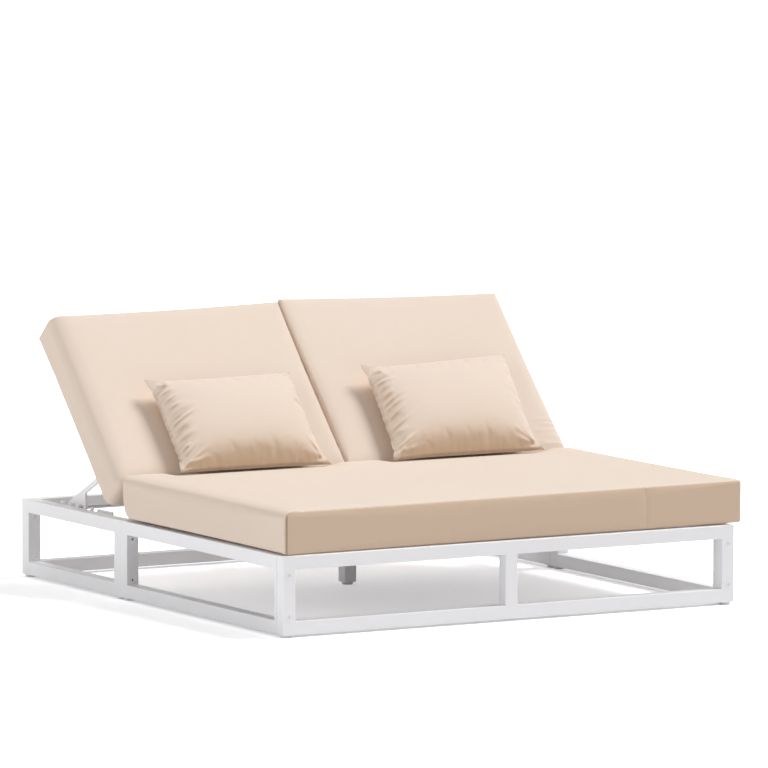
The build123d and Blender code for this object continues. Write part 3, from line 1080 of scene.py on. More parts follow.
@dataclass
class ThrowPillow(SoftPiece):
    """A knife-edge pillow: two cloths sewn round their rim, with flat pointed ears and gathered sides."""

    width: float = 0.62
    height: float = 0.43
    swell: float = 0.082
    rear_swell: float = 0.058
    hollow: float = 0.0138
    top_room: float = 0.005
    half_gap: float = 0.0012
    edge_lines: tuple[float, ...] = (0.0, 0.0035, 0.0055, 0.009, 0.0135, 0.0195, 0.027)
    pitch: float = 0.0085
    plan_powers: tuple[float, float] = (2.6, 2.4)
    lip: float = 0.0055
    lip_fullness: float = 0.02
    lip_mark: float = 0.25
    # How dark the painted shadow line along the lower seam is, where the pillow meets the seat.
    low_mark: float = 0.75
    low_edge: tuple[float, float] = (0.86, 0.97)
    # How far the cloth turns down before it gets painted shade.
    shade_turn: tuple[float, float] = (-0.05, 0.9)
    side_draw: float = 0.05
    end_draw: float = 0.035
    ears: CornerSlip = field(default_factory=CornerSlip)
    ear_reach: float = 0.045
    ear_thickness: float = 0.03
    ear_blend: float = 0.008
    ear_sizes: tuple[float, float, float, float] = (0.022, 0.026, 0.062, 0.022)
    side_gathers: tuple[tuple[float, int, float], ...] = ((-1.0, 10, 1.0), (1.0, 6, 0.3))
    side_sizes: GatherSizes = GatherSizes((0.05, 0.135), (0.005, 0.009), (0.006, 0.012))
    side_span: float = 0.42
    corner_inset: tuple[float, float] = (0.036, 0.03)
    corner_turns: tuple[float, ...] = (-0.55, -0.15, 0.3)
    corner_sizes: GatherSizes = GatherSizes((0.05, 0.11), (0.0055, 0.0075), (0.003, 0.0055))
    low_gathers: int = 6
    low_sizes: GatherSizes = GatherSizes((0.05, 0.1), (0.008, 0.012), (0.0012, 0.0022))
    low_span: float = 0.38
    gather_heights: tuple[float, float] = (0.001, 0.014)
    pinch_width: float = 0.008
    pinch_share: float = 0.8
    pinch_most: float = 0.005
    pinch_reach: float = 0.02
    seed: int = 3

    def shape(self) -> None:
        """Build both cloths on one grid that is fine at the rim."""
        s = grid_lines(self.width, self.pitch, self.edge_lines) / self.width * 2 - 1
        t = grid_lines(self.height, self.pitch, self.edge_lines) / self.height * 2 - 1
        ns, nt = len(s), len(t)
        u, v = (g.ravel() for g in np.meshgrid(s, t, indexing="ij"))
        x = u * self.width / 2 * (1 - self.side_draw * (1 - np.abs(v) ** 5))
        y = v * self.height / 2 * (1 - self.end_draw * (1 - np.abs(u) ** 6))
        plump = self.profile(u, v)
        rim = (np.abs(u) > 1 - TINY) | (np.abs(v) > 1 - TINY)
        rise = plump * (self.swell - self.cloth.most) + self.half_gap
        front = np.stack([x, y, np.where(rim, 0.0, rise)], 1)
        rear = np.stack([x, y, -plump * self.rear_swell - self.half_gap], 1)
        numbers = np.arange(ns * nt).reshape(ns, nt)
        rear_numbers = np.where(rim, np.arange(ns * nt), -1)
        rear_numbers[~rim] = ns * nt + np.arange((~rim).sum())
        faces = quads(numbers) + quads(rear_numbers.reshape(ns, nt), True)
        self.piece = new_object(self.name, self.lean.to_frame(np.concatenate([front, rear[~rim]])), faces)
        lip = plump < self.lip_fullness
        self.pinned = np.concatenate([lip, np.ones((~rim).sum(), bool)]).astype(float)
        # The lip gets a seam tint that deepens near the lower edge into a painted shadow line on the seat.
        seam = np.where(lip, self.lip_mark * ~rim + self.low_mark * smooth(-v, *self.low_edge), 0.0)
        self.mark_seams(np.concatenate([seam, np.zeros((~rim).sum())]))

    def profile(self, u: np.ndarray, v: np.ndarray) -> np.ndarray:
        """Work out how full the pillow is over its plan.

        Args:
            u: Where each point lies across, from -1 to 1.
            v: Where each point lies up the slope, from -1 to 1.

        Returns:
            0 at the lip and in the ears, up to 1 in the middle.
        """
        a = np.clip(np.abs(u) / (1 - 2 * self.lip / self.width), 0, 1)
        b = np.clip(np.abs(v) / (1 - 2 * self.lip / self.height), 0, 1)
        full = ((1 - a ** self.plan_powers[0]) * (1 - b ** self.plan_powers[1])) ** 0.5
        flat = np.ones_like(full)
        for (side, end, _), size in zip(self.ears.rows(), self.ear_sizes):
            from_tip = ((1 - side * u) * self.width + (1 - end * v) * self.height) / 2
            rise = smooth(from_tip, size * 0.95, size * 1.25 + self.ear_blend) ** 0.8
            flat = flat * (self.ear_thickness + (1 - self.ear_thickness) * rise)
        return full * flat

    def panels(self, normals: np.ndarray) -> np.ndarray:
        """Paint shade on the cloth that turns down towards the lower seam, away from the light."""
        return smooth(-normals[:, 1], *self.shade_turn)

    def side_folds(self, rng: np.random.Generator) -> list[Fold]:
        """Gather the two upright seams, the left one deeply and the right one a little.

        Args:
            rng: The pillow's own generator.

        Returns:
            The folds.
        """
        made = []
        for side, rows, depth in self.side_gathers:
            start = side * (self.width / 2 * (1 - self.side_draw) - self.lip)
            for row in range(rows):
                share = (row + 0.5 + rng.uniform(-0.35, 0.35)) / rows * 2 - 1
                rise = 0.5 - 0.55 * max(share, 0.0) + rng.uniform(-0.2, 0.25)
                spot = (start, share * self.height * self.side_span)
                made.append(self.side_sizes.fold(rng, spot, (-side, rise), depth))
        return made

    def corner_folds(self, rng: np.random.Generator) -> list[Fold]:
        """Fan three gathers out of each corner.

        Args:
            rng: The pillow's own generator.

        Returns:
            The folds.
        """
        made = []
        across, along = self.width / 2 - self.corner_inset[0], self.height / 2 - self.corner_inset[1]
        for side, end, _ in self.ears.rows():
            for turn in self.corner_turns:
                angle = 0.7 + turn + rng.uniform(-0.1, 0.1)
                way = (-side * math.cos(angle), -end * math.sin(angle))
                made.append(self.corner_sizes.fold(rng, (side * across, end * along), way))
        return made

    def low_folds(self, rng: np.random.Generator) -> list[Fold]:
        """Gather the lower seam a little.

        Args:
            rng: The pillow's own generator.

        Returns:
            The folds.
        """
        made = []
        low = -self.height / 2 * (1 - self.end_draw) + self.lip
        for row in range(self.low_gathers):
            share = (row + 0.5 + rng.uniform(-0.3, 0.3)) / self.low_gathers * 2 - 1
            way = (rng.uniform(-0.3, 0.3), 1.0)
            made.append(self.low_sizes.fold(rng, (share * self.width * self.low_span, low), way))
        return made

    def tailor(self, points: np.ndarray) -> np.ndarray:
        """Gather the front cloth along the seams, draw the ears out and slip the pillow to its place.

        Args:
            points: Points in the pillow's own axes.

        Returns:
            The moved points.
        """
        rng = np.random.default_rng(self.seed)
        x, y, z = points.T.copy()
        lift, pinch = np.zeros_like(x), np.zeros_like(x)
        for fold in self.side_folds(rng):
            lift += fold.lift(x, y)
            near = np.exp(-((y - fold.start[1]) / self.pinch_width) ** 2)
            same_side = np.sign(x) == np.sign(fold.start[0])
            pinch += near * same_side * fold.height * self.pinch_share
        for fold in [*self.corner_folds(rng), *self.low_folds(rng), *self.folds]:
            lift += fold.lift(x, y)
        inset = np.maximum(self.width / 2 * (1 - self.side_draw) - np.abs(x), 0)
        drawn = np.minimum(pinch, self.pinch_most) * np.exp(-(inset / self.pinch_reach) ** 2)
        points[:, 0] -= np.sign(x) * drawn
        lift *= smooth(z, *self.gather_heights)
        points[:, 2] = np.minimum(z + lift, self.swell + self.top_room)
        points = self.ears.pull(points, self.width, self.height, self.ear_reach)
        points = self.slip.stretch(points, self.width, self.height)
        points[:, 2] = np.maximum(points[:, 2], -self.hollow)
        return points


class NodeTree:
    """A Geometry Nodes tree that places copies of one thing, made plain and given a material."""

    def __init__(self, name: str) -> None:
        """Start a tree with its geometry and material inputs.

        Args:
            name: The tree's name.
        """
        self.tree = bpy.data.node_groups.new(name, "GeometryNodeTree")
        self.put("Geometry", "NodeSocketGeometry", "OUTPUT")
        self.put("Geometry", "NodeSocketGeometry", "INPUT")
        self.put("Finish", "NodeSocketMaterial", "INPUT")
        self.start = self.tree.nodes.new("NodeGroupInput")

    def put(self, name: str, kind: str, way: str = "INPUT") -> None:
        """Add a named input or output."""
        self.tree.interface.new_socket(name, in_out=way, socket_type=kind)

    def add(self, kind: str, settings: dict[str, Any], values: dict[Any, Any]) -> bpy.types.Node:
        """Add any node from its type, its settings and a value or a link for each socket."""
        return add_node(self.tree, kind, settings, values)

    def close(self, geometry: bpy.types.NodeSocket) -> None:
        """End the tree with Realize Instances and Set Material.

        Args:
            geometry: The socket that gives the placed copies.
        """
        real = self.add("GeometryNodeRealizeInstances", {}, {"Geometry": geometry})
        coat = self.add("GeometryNodeSetMaterial", {}, {
            "Geometry": real.outputs[0], "Material": self.start.outputs["Finish"]})
        self.add("NodeGroupOutput", {}, {0: coat.outputs[0]})

    def run(self, piece: bpy.types.Object, values: dict[str, Any]) -> None:
        """Run the tree on a piece and keep what it makes as a plain mesh.

        Args:
            piece: The piece whose mesh goes in.
            values: The value of each named input.
        """
        modifier = piece.modifiers.new(self.tree.name, "NODES")
        modifier.node_group = self.tree
        names = {s.name: s.identifier for s in self.tree.interface.items_tree if s.in_out == "INPUT"}
        for name, value in values.items():
            modifier[names[name]] = value
        plain_mesh(piece)


@dataclass
class SeamStitches:
    """The lockstitches that show in the cushions' seams, one every few millimetres."""

    thread: bpy.types.Material
    pitch: float = 0.0052
    length: float = 0.0038
    radius: float = 0.00042
    sides: int = 5
    tree: NodeTree = field(default_factory=lambda: NodeTree("seam_stitches"))

    def __post_init__(self) -> None:
        """Build the tree that lays stitches along a seam's line."""
        tree = self.tree
        for name in ("Stitch Pitch", "Stitch Length", "Thread Radius"):
            tree.put(name, "NodeSocketFloat")
        start = tree.start.outputs
        line = tree.add("GeometryNodeMeshToCurve", {}, {"Mesh": start["Geometry"]})
        even = tree.add("GeometryNodeResampleCurve", {"mode": "LENGTH"}, {
            "Curve": line.outputs[0], "Length": start["Stitch Pitch"]})
        stitch = tree.add("GeometryNodeMeshCylinder", {}, {
            "Vertices": self.sides, "Side Segments": 1, "Radius": start["Thread Radius"],
            "Depth": start["Stitch Length"]})
        tangent = tree.add("GeometryNodeInputTangent", {}, {})
        turn = tree.add("FunctionNodeAlignRotationToVector", {"axis": "Z"}, {"Vector": tangent.outputs[0]})
        laid = tree.add("GeometryNodeInstanceOnPoints", {}, {
            "Points": even.outputs[0], "Instance": stitch.outputs[0], "Rotation": turn.outputs[0]})
        tree.close(laid.outputs[0])

    def sew(self, name: str, soft: SoftPiece, runs: list[list[int]], lift: float) -> bpy.types.Object:
        """Sew one piece's seams.

        Args:
            name: The stitches' name.
            soft: The finished padded piece.
            runs: Vertex numbers of the piece along each seam.
            lift: How far the thread lies above the seam's bottom.

        Returns:
            The piece that holds the stitches.
        """
        rows = soft.piece.data.vertices
        spots = read(rows, "co") + read(rows, "normal") * lift
        points, edges = [], []
        for run in runs:
            first = len(points)
            points += [spots[i] for i in run]
            edges += [(first + k, first + k + 1) for k in range(len(run) - 1)]
        piece = new_object(name, points, [], edges)
        self.tree.run(piece, {"Finish": self.thread, "Stitch Pitch": self.pitch,
                              "Stitch Length": self.length, "Thread Radius": self.radius})
        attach(piece, soft.body)
        LOG.info("%s: %d faces", name, len(piece.data.polygons))
        return piece


def turned(name: str, rings: Sequence[tuple[float, float, bool]], turns: int) -> bpy.types.Object:
    """Turn a profile about Z.

    Args:
        name: The object's name.
        rings: The radius and height of each ring, and whether it is a hexagon.
        turns: How many points go round.

    Returns:
        The closed object.
    """
    angles = np.arange(turns) * 2 * math.pi / turns
    sixth = math.pi / 3
    flat = math.cos(sixth / 2) / np.cos((angles + sixth / 2) % sixth - sixth / 2)
    points, faces = [], []
    for radius, level, hexed in rings:
        reach = radius * (flat if hexed else np.ones_like(flat))
        heights = np.full_like(angles, level)
        points.append(np.stack([reach * np.cos(angles), reach * np.sin(angles), heights], 1))
    for ring in range(len(rings) - 1):
        for k in range(turns):
            a, b = ring * turns + k, ring * turns + (k + 1) % turns
            faces.append((a, a + turns, b + turns, b))
    piece = new_object(name, np.concatenate(points), faces)
    close_up(piece)
    return piece


@dataclass
class Placer:
    """Places copies of a pattern along given directions, by one Geometry Nodes tree."""

    tree: NodeTree = field(default_factory=lambda: NodeTree("placed_patterns"))

    def __post_init__(self) -> None:
        """Build the tree: each point carries the copy's long axis, its outward axis and its scale."""
        tree = self.tree
        tree.put("Pattern", "NodeSocketObject")
        tree.put("Pattern Scale", "NodeSocketFloat")
        start = tree.start.outputs
        source = tree.add("GeometryNodeObjectInfo", {}, {"Object": start["Pattern"]})
        vector = {"data_type": "FLOAT_VECTOR"}
        aim, out, size = (tree.add("GeometryNodeInputNamedAttribute", vector, {"Name": name}).outputs[0]
                          for name in ("aim", "out", "size"))
        turn = tree.add("FunctionNodeAlignRotationToVector", {"axis": "Z"}, {"Vector": aim})
        roll = tree.add("FunctionNodeAlignRotationToVector", {"axis": "X", "pivot_axis": "Z"}, {
            "Rotation": turn.outputs[0], "Vector": out})
        scale = tree.add("ShaderNodeVectorMath", {"operation": "SCALE"}, {
            0: size, "Scale": start["Pattern Scale"]})
        laid = tree.add("GeometryNodeInstanceOnPoints", {}, {
            "Points": start["Geometry"], "Instance": source.outputs["Geometry"],
            "Rotation": roll.outputs[0], "Scale": scale.outputs[0]})
        tree.close(laid.outputs[0])

    def place(self, name: str, pattern: bpy.types.Object, rows: Sequence[Place],
              finish: bpy.types.Material) -> bpy.types.Object:
        """Place copies of a pattern and drop the pattern itself.

        Args:
            name: The new piece's name.
            pattern: The object to copy.
            rows: Where each copy goes.
            finish: The material of the copies.

        Returns:
            The piece that holds all copies.
        """
        piece = new_object(name, np.array([row.spot for row in rows]), [])
        for key in ("aim", "out", "size"):
            mark = piece.data.attributes.new(key, "FLOAT_VECTOR", "POINT")
            mark.data.foreach_set("vector", [value for row in rows for value in getattr(row, key)])
        self.tree.run(piece, {"Finish": finish, "Pattern": pattern, "Pattern Scale": 1.0})
        bpy.data.objects.remove(pattern)
        LOG.info("%s: %d faces", name, len(piece.data.polygons))
        return piece


@dataclass(frozen=True)
class Place:
    """Where one copy of a pattern goes: its spot, its long axis, its outward axis and its scale."""

    spot: Point
    aim: Point = (0.0, 0.0, 1.0)
    out: Point = (1.0, 0.0, 0.0)
    size: Point = (1.0, 1.0, 1.0)


@dataclass
class FrameScrews:
    """The frame's button-head screws with hexagon sockets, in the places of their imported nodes."""

    coat: bpy.types.Material
    placer: Placer
    head_radius: float = 0.0075
    head_height: float = 0.003
    socket_reach: float = 0.0026
    socket_depth: float = 0.0018
    shank_radius: float = 0.004
    turns: int = 30
    heights: tuple[float, float] = (0.077, 0.228)
    ways: tuple[tuple[str, float], ...] = (
        ("foot_corner_bolts", -1.0), ("module_bolts", 1.0), ("head_corner_bolts", -1.0))

    def pattern(self, shank: float) -> bpy.types.Object:
        """Make one screw along +Z, its head's seat at the origin and its shank below.

        Args:
            shank: The shank's length.

        Returns:
            The screw to copy.
        """
        r, h, s = self.head_radius, self.head_height, self.socket_reach
        socket = [(0.0, h - self.socket_depth), (s, h - self.socket_depth), (s, h * 0.94), (s * 1.12, h)]
        head = [(r * 0.5, h), (r * 0.72, h * 0.93), (r * 0.9, h * 0.7), (r * 0.985, h * 0.4), (r, 0.0)]
        body = [(self.shank_radius, 0.0), (self.shank_radius, -shank), (0.0, -shank)]
        rings = [(*ring, True) for ring in socket] + [(*ring, False) for ring in head + body]
        return turned("screw_pattern", rings, self.turns)

    def build(self) -> None:
        """Place each set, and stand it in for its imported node."""
        r, h = self.head_radius, self.head_height
        for name, way in self.ways:
            low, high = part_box(name)
            seat = high[1] - h if way > 0 else low[1] + h
            rows = [Place((x, seat, z), aim=(0.0, way, 0.0))
                    for x in (low[0] + r, high[0] - r) for z in self.heights]
            pattern = self.pattern(high[1] - low[1] - h)
            piece = self.placer.place(name.replace("bolts", "screws"), pattern, rows, self.coat)
            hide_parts(name)
            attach(piece, "base")


@dataclass
class FrameGlides:
    """The round levelling feet under the posts, each with a collar and a stem in its tube."""

    plastic: bpy.types.Material
    placer: Placer
    radius: float = 0.0205
    height: float = 0.010
    stem_top: float = 0.028
    stem_chamfer: float = 0.002
    turns: int = 40
    posts: tuple[str, ...] = ("foot_post", "front_joint_post", "rear_joint_post", "head_post")

    def build(self) -> None:
        """Place every glide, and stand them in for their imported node."""
        r, h, top = self.radius, self.height, self.stem_top
        foot = [(0.0, 0.0), (r * 0.84, 0.0), (r * 0.95, h * 0.12), (r, h * 0.35), (r, h * 0.68)]
        collar = [(r * 0.93, h * 0.74), (r * 0.93, h * 0.82), (r * 1.08, h * 0.86), (r * 1.08, h)]
        stem = [(r * 0.9, h), (r * 0.9, top - self.stem_chamfer), (r * 0.8, top), (0.0, top)]
        rings = [(*ring, False) for ring in foot + collar + stem]
        pattern = turned("glide_pattern", rings, self.turns)
        rows = []
        for tube in [*(f"{side.word}_{post}" for side in Side for post in self.posts), "centre_leg"]:
            low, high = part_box(tube)
            rows.append(Place(((low[0] + high[0]) / 2, (low[1] + high[1]) / 2, 0.0)))
        piece = self.placer.place("levelling_glides", pattern, rows, self.plastic)
        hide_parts("glides")
        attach(piece, "base")


@dataclass
class GroundWelds:
    """Welds ground flush where the tubes meet, so that the coat runs on from tube to tube."""

    coat: bpy.types.Material
    placer: Placer
    half_width: float = 0.0034
    depth: float = 0.0029
    proud: float = 0.0001
    corner: float = 0.0016
    runs: tuple[tuple[str, int], ...] = (
        ("foot_end_top_rail", 0), ("foot_end_bottom_rail", 0), ("foot_end_middle_post", 2),
        ("seat_rear_beam", 0), ("head_end_top_rail", 0), ("head_end_bottom_rail", 0),
        ("head_end_middle_post", 2), ("left_seat_top_rail", 1), ("left_seat_bottom_rail", 1),
        ("right_seat_top_rail", 1), ("right_seat_bottom_rail", 1), ("left_head_top_rail", 1),
        ("left_head_bottom_rail", 1), ("right_head_top_rail", 1), ("right_head_bottom_rail", 1),
    )

    def pattern(self) -> bpy.types.Object:
        """Make a weld one metre long on Z, its ground face on +X.

        Returns:
            The weld to copy.
        """
        w, d, p = self.half_width, self.depth, self.proud
        section = [(-d, -w), (-d, w), (0.0, w), (p, w * 0.7), (p, -w * 0.7), (0.0, -w)]
        points = [(x, y, z) for z in (-0.5, 0.5) for x, y in section]
        count = len(section)
        nexts = [(k, (k + 1) % count) for k in range(count)]
        sides = [(k, k + count, after + count, after) for k, after in nexts]
        ends = [tuple(range(count)), tuple(range(2 * count - 1, count - 1, -1))]
        piece = new_object("weld_pattern", points, [*sides, *ends])
        close_up(piece)
        piece.data.shade_flat()
        return piece

    def build(self) -> None:
        """Lay four welds round each end of each tube."""
        rows = []
        for node, axis in self.runs:
            low, high = (np.array(corner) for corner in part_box(node))
            middle, half = (low + high) / 2, (high - low) / 2
            others = [a for a in range(3) if a != axis]
            places = itertools.product((low[axis], high[axis]), (others, others[::-1]), (-1.0, 1.0))
            for end, (face, along), way in places:
                spot, aim, out = middle.copy(), np.zeros(3), np.zeros(3)
                spot[axis] = end
                spot[face] += way * half[face]
                aim[along], out[face] = 1.0, way
                size = (1.0, 1.0, 2 * (half[along] - self.corner))
                rows.append(Place(tuple(spot), tuple(aim), tuple(out), size))
        piece = self.placer.place("ground_welds", self.pattern(), rows, self.coat)
        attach(piece, "base")


@dataclass
class Upholstery:
    """The seat cushion, the two back cushions and the two pillows, with their stitches."""

    finishes: Finishes
    rest: float = field(init=False)
    hinge: tuple[float, float] = field(init=False)
    seat_origin: Point = (0.0, -0.391, 0.303)
    seat_size: Point = (1.912, 1.185, 0.15)
    seat_left: float = -0.95
    back_middle: float = 0.47875
    back_up: float = 0.4605
    back_out: float = 0.0208
    back_top: float = 0.843
    back_size: Point = (0.9545, 0.765, 0.146)
    back_right: float = 0.474
    seat_rear: float = 0.2085
    pillow_shift: float = 0.07
    pillow_up: float = 0.277
    pillow_out: float = 0.18925
    thread_lift: float = 0.0003

    def __post_init__(self) -> None:
        """Read where the backs turn, and how far they are raised from lying flat at their lower limit."""
        tilt = next(joint for joint in frame["joints"] if joint["name"] == "left_back_tilt")
        self.hinge = tuple(tilt["pos_m"][1:])
        self.rest = math.radians(-tilt["range_deg"][0])

    def on_back(self, x: float, up: float, out: float) -> Lean:
        """Find the place of a piece on a raised back.

        Args:
            x: Where it lies across the lounger.
            up: How far up the slope from the hinge.
            out: How far out of the slope.

        Returns:
            The place, leaning as the back does at rest.
        """
        c, s = math.cos(self.rest), math.sin(self.rest)
        y, z = self.hinge
        return Lean((x, y + up * c - out * s, z + up * s + out * c), self.rest)

    def seat(self) -> BoxedCushion:
        """Plan the seat cushion, slipped a little to the right as it lies.

        Returns:
            The cushion, not yet built.
        """
        slip = CornerSlip((0.022, 0.0, 0.0), (0.0355, 0.0, 0.004),
                          (0.003, 0.005, 0.008), (0.022, 0.0, 0.005))
        folds = [Fold((self.seat_left, y), (1.0, rise), length, width=0.011, height=0.0014, valley=0.5)
                 for y, rise, length in ((0.50, -0.35, 0.17), (0.44, -0.15, 0.2), (0.35, -0.3, 0.14))]
        # The seat cushion's front faces get painted shade.
        return BoxedCushion(
            "seat_cushion_cover", "base", "seat_cushion", "cushion_cloth",
            Lean(self.seat_origin, 0.0), 0.95,
            ClothPass(pressure=4.0, slack=0.004, most=0.004), slip, folds,
            size=self.seat_size, crown=0.009, crown_reach=0.2, joins=(0.55,), rim_sag=0.0075,
            rear_tuck=0.024, rounding=((0.034, 0.013), (0.009, 0.009), (0.006, 0.012)),
            soft_edges=(0.026, 0.010), dents=((-0.77, -0.10), (0.13, 0.815)), shade_front=True)

    def back(self, side: Side) -> BoxedCushion:
        """Plan one back cushion, its outer top corner a little lower than its inner one.

        Args:
            side: The half of the lounger that it is on.

        Returns:
            The cushion, not yet built.
        """
        if side is Side.LEFT:
            slip = CornerSlip((-0.011, 0.0, 0.0), (0.0075, 0.0, 0.0),
                              (-0.014, -0.003, 0.0), (0.0075, 0.004, 0.0))
            creases, soft_edges, round_sides = (), (0.045, 0.016), (0.042, 0.006)
        else:
            slip = CornerSlip((0.0105, 0.0, 0.0), (0.016, 0.0, 0.0),
                              (0.0105, 0.016, 0.0), (0.005, -0.010, 0.0))
            creases = ((-0.362, 0.1, 0.12), (-0.34, 0.05, 0.15), (-0.318, 0.16, 0.11),
                       (-0.295, 0.06, 0.14), (-0.27, 0.12, 0.1), (-0.245, 0.02, 0.12))
            soft_edges, round_sides = (0.016, 0.03), (0.006, 0.018)
        folds = [Fold((self.back_right, y), (-1.0, rise), length, width=0.005, height=0.004)
                 for y, rise, length in creases]
        return BoxedCushion(
            f"{side.word}_back_cushion_cover", f"{side.word}_back_pad", f"{side.word}_back_cushion",
            "cushion_cloth", self.on_back(side.sign * self.back_middle, self.back_up, self.back_out), 0.95,
            ClothPass(pressure=4.0, slack=0.006, most=0.005), slip, folds,
            size=self.back_size, crown=0.008, draw=0.002, low_reach=0.03, pressed_at=self.seat_rear,
            rounding=(round_sides, (0.036, 0.012), (0.012, 0.02)), soft_edges=soft_edges, seamed_low=False)

    def give(self, piece: bpy.types.Object) -> None:
        """Give a back cushion its own copy of its mesh.

        Args:
            piece: The cushion, or the thread of its seams.
        """
        top = self.on_back(0.0, self.back_top, 0.0).origin
        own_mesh(piece)

    def pillow(self, side: Side) -> ThrowPillow:
        """Plan one throw pillow, slumped and eared in its own way.

        Args:
            side: The half of the lounger that it is on.

        Returns:
            The pillow, not yet built.
        """
        if side is Side.LEFT:
            slip = CornerSlip((-0.020, -0.026, 0.035), (-0.005, -0.032, 0.035),
                              (-0.022, -0.028, 0.045), (-0.004, -0.019, 0.045))
            ears = CornerSlip((-0.004, 0.001, 0.006), (0.004, 0.0, 0.006),
                              (-0.003, 0.003, 0.006), (-0.012, -0.007, 0.0))
        else:
            slip = CornerSlip((-0.071, -0.031, 0.035), (-0.042, -0.032, 0.035),
                              (-0.053, -0.025, 0.045), (-0.013, 0.008, 0.045))
            ears = CornerSlip((-0.004, 0.0, 0.004), (0.006, 0.0, 0.010),
                              (-0.006, 0.004, 0.012), (-0.014, -0.008, 0.0))
        x = side.sign * self.back_middle + self.pillow_shift
        return ThrowPillow(
            f"{side.word}_throw_pillow", f"{side.word}_back_pad", f"{side.word}_pillow", "pillow_cloth",
            self.on_back(x, self.pillow_up, self.pillow_out), 0.75,
            ClothPass(pressure=3.0, slack=0.02, bending=0.1, most=0.012), slip, ears=ears,
            seed=5 if side is Side.LEFT else 11)

    def swell(self, made: list[SoftPiece]) -> None:
        """Run the cloth of all pieces together and take the swollen shapes.

        Args:
            made: The padded pieces, their first meshes built.
        """
        for soft in made:
            soft.cloth.start(soft.piece, soft.pinned)
        for step in range(1, max(soft.cloth.last_frame for soft in made) + 1):
            bpy.context.scene.frame_set(step)
        for soft in made:
            soft.cloth.settle(soft.piece)
        bpy.context.scene.frame_set(1)

    def build(self) -> None:
        """Shape all pieces, swell them under pressure, then finish each and sew the boxed cushions."""
        made = [self.seat(), *(self.back(side) for side in Side), *(self.pillow(side) for side in Side)]
        for soft in made:
            soft.shape()
        self.swell(made)
        stitches = SeamStitches(self.finishes.thread)
        for soft in made:
            if isinstance(soft, BoxedCushion):
                soft.finish(self.finishes.cushion_cloth)
                name = soft.name.replace("cover", "stitches")
                thread = stitches.sew(name, soft, soft.seam_runs, self.thread_lift)
                for side in Side:
                    if soft.name.startswith(side.word):
                        self.give(soft.piece)
                        self.give(thread)
            else:
                soft.finish(self.finishes.pillow_cloth)


@dataclass(frozen=True)
class Sun:
    """A broad lamp: its name, its strength, how wide it is in degrees and where it stands."""

    name: str
    strength: float
    width: float
    toward: Point

    def hang(self) -> None:
        """Add the lamp to the scene."""
        lamp = bpy.data.lights.new(self.name, "SUN")
        lamp.energy, lamp.angle = self.strength, math.radians(self.width)
        sun = add_object(self.name, lamp)
        sun.rotation_mode = "QUATERNION"
        sun.rotation_quaternion = Vector(self.toward).to_track_quat("Z", "Y")


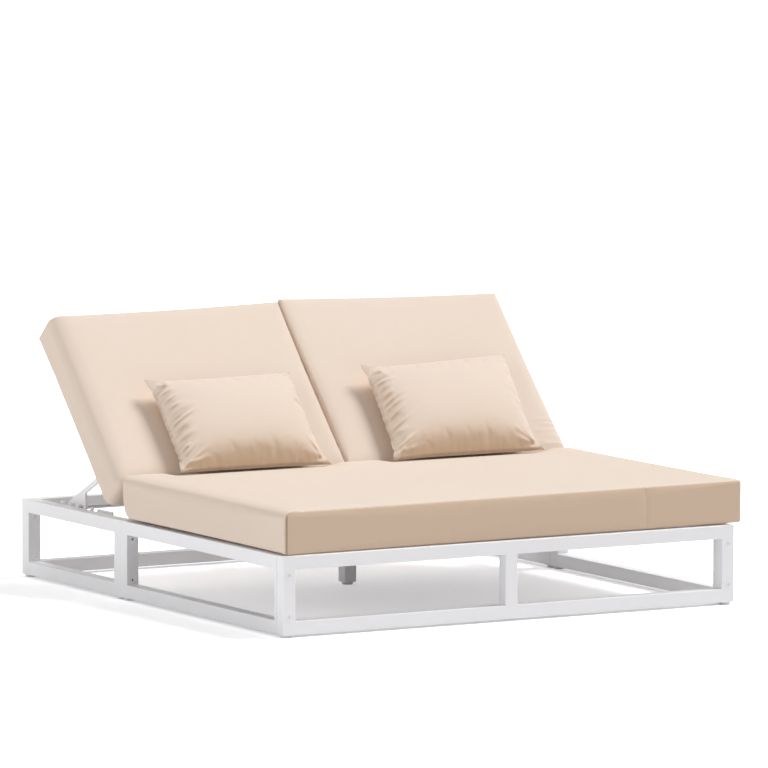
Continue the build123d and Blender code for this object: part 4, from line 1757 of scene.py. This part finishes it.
@dataclass
class Studio:
    """A pale floor, plain soft light and the camera that looks at the lounger from its foot."""

    azimuth: float = 0.52495
    elevation: float = 0.107871
    roll: float = 0.001687
    distance: float = 33.5886
    aside: float = 0.036956
    above: float = 0.7659
    ahead: float = 0.0015
    lens: float = 423.67
    sensor: float = 36.0
    clip: tuple[float, float] = (1.0, 400.0)
    sky: float = 0.34
    suns: tuple[Sun, ...] = (
        Sun("key_sun", 2.42, 24.0, (0.54, -0.11, 0.834)),
        Sun("fill_sun", 1.12, 50.0, (-0.96, -0.25, 0.12)),
    )
    floor_half: float = 90.0
    floor_colour: Colour = (0.9, 0.9, 0.905)
    glow_colour: Colour = (0.985, 0.98, 1.0)
    floor_glow: float = 0.29
    floor_gain: float = 0.55

    def camera(self) -> None:
        """Stand the camera at the photograph's angle."""
        a, e = self.azimuth, self.elevation
        back = Vector((-math.sin(a) * math.cos(e), -math.cos(a) * math.cos(e), math.sin(e)))
        right = (-back).cross(Vector((0, 0, 1))).normalized()
        up = right.cross(-back)
        c, s = math.cos(self.roll), math.sin(self.roll)
        right_rolled, up_rolled = right * c + up * s, up * c - right * s
        data = bpy.data.cameras.new("camera")
        data.lens, data.sensor_width = self.lens, self.sensor
        data.clip_start, data.clip_end = self.clip
        camera = add_object("camera", data)
        turn = Matrix((right_rolled, up_rolled, back)).transposed().to_4x4()
        spot = back * self.distance + right * self.aside + up * self.above + Vector((0, self.ahead, 0))
        camera.matrix_world = Matrix.Translation(spot) @ turn
        bpy.context.scene.camera = camera

    def seen(self, s: Shader) -> Wire:
        """Tell the rays that see the studio itself: the camera's, and mirrored and clear ones.

        Args:
            s: The shader of the floor or the world.

        Returns:
            1 for those rays and 0 for the others.
        """
        rays = s.raw("ShaderNodeLightPath", {}, {})
        kinds = ("Is Camera Ray", "Is Glossy Ray", "Is Transmission Ray")
        first, second, third = (Wire(s, rays.outputs[kind]) for kind in kinds)
        return first.most(second).most(third)

    def floor(self) -> None:
        """Lay the pale floor, which shows white where no shadow falls."""
        r, gain = self.floor_half, self.floor_gain
        piece = new_object("studio_floor", [(-r, -r, 0), (r, -r, 0), (r, r, 0), (-r, r, 0)], [(0, 1, 2, 3)])
        material, s = new_material("studio_floor")
        seen = self.seen(s)
        pale = s.node("ShaderNodeBsdfDiffuse", {}, {"Color": (*self.floor_colour, 1)})
        bright = s.blend(seen, (0, 0, 0), (gain, gain, gain))
        extra = s.node("ShaderNodeBsdfDiffuse", {}, {"Color": bright})
        glow = s.node("ShaderNodeEmission", {}, {
            "Color": (*self.glow_colour, 1), "Strength": seen * self.floor_glow})
        both = s.node("ShaderNodeAddShader", {}, {0: pale, 1: extra})
        both = s.node("ShaderNodeAddShader", {}, {0: both, 1: glow})
        s.raw("ShaderNodeOutputMaterial", {}, {"Surface": both})
        piece.data.materials.append(material)

    def world(self) -> None:
        """Set a white sky that lights at its own level and shows as white."""
        world = bpy.data.worlds.new("studio_world")
        bpy.context.scene.world = world
        world.use_nodes = True
        s = Shader(world.node_tree)
        sky = s.node("ShaderNodeBackground", {}, {
            "Color": (1, 1, 1, 1), "Strength": self.seen(s) * (1.0 - self.sky) + self.sky})
        s.raw("ShaderNodeOutputWorld", {}, {"Surface": sky})

    def build(self) -> None:
        """Set up the camera, the floor and the light."""
        self.camera()
        self.floor()
        self.world()
        for sun in self.suns:
            sun.hang()
        bpy.context.scene.view_settings.view_transform = "Standard"
        LOG.info("studio ready")


def main() -> None:
    """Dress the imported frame, build the soft pieces and the fittings, and set up the studio."""
    logging.basicConfig(level=logging.INFO, format="%(name)s: %(message)s")
    finishes = Finishes()
    finishes.dress_frame()
    placer = Placer()
    FrameScrews(finishes.bolt_coat, placer).build()
    FrameGlides(finishes.glide_plastic, placer).build()
    GroundWelds(finishes.frame_coat, placer).build()
    Upholstery(finishes).build()
    Studio().build()


if __name__ == "__main__":
    main()
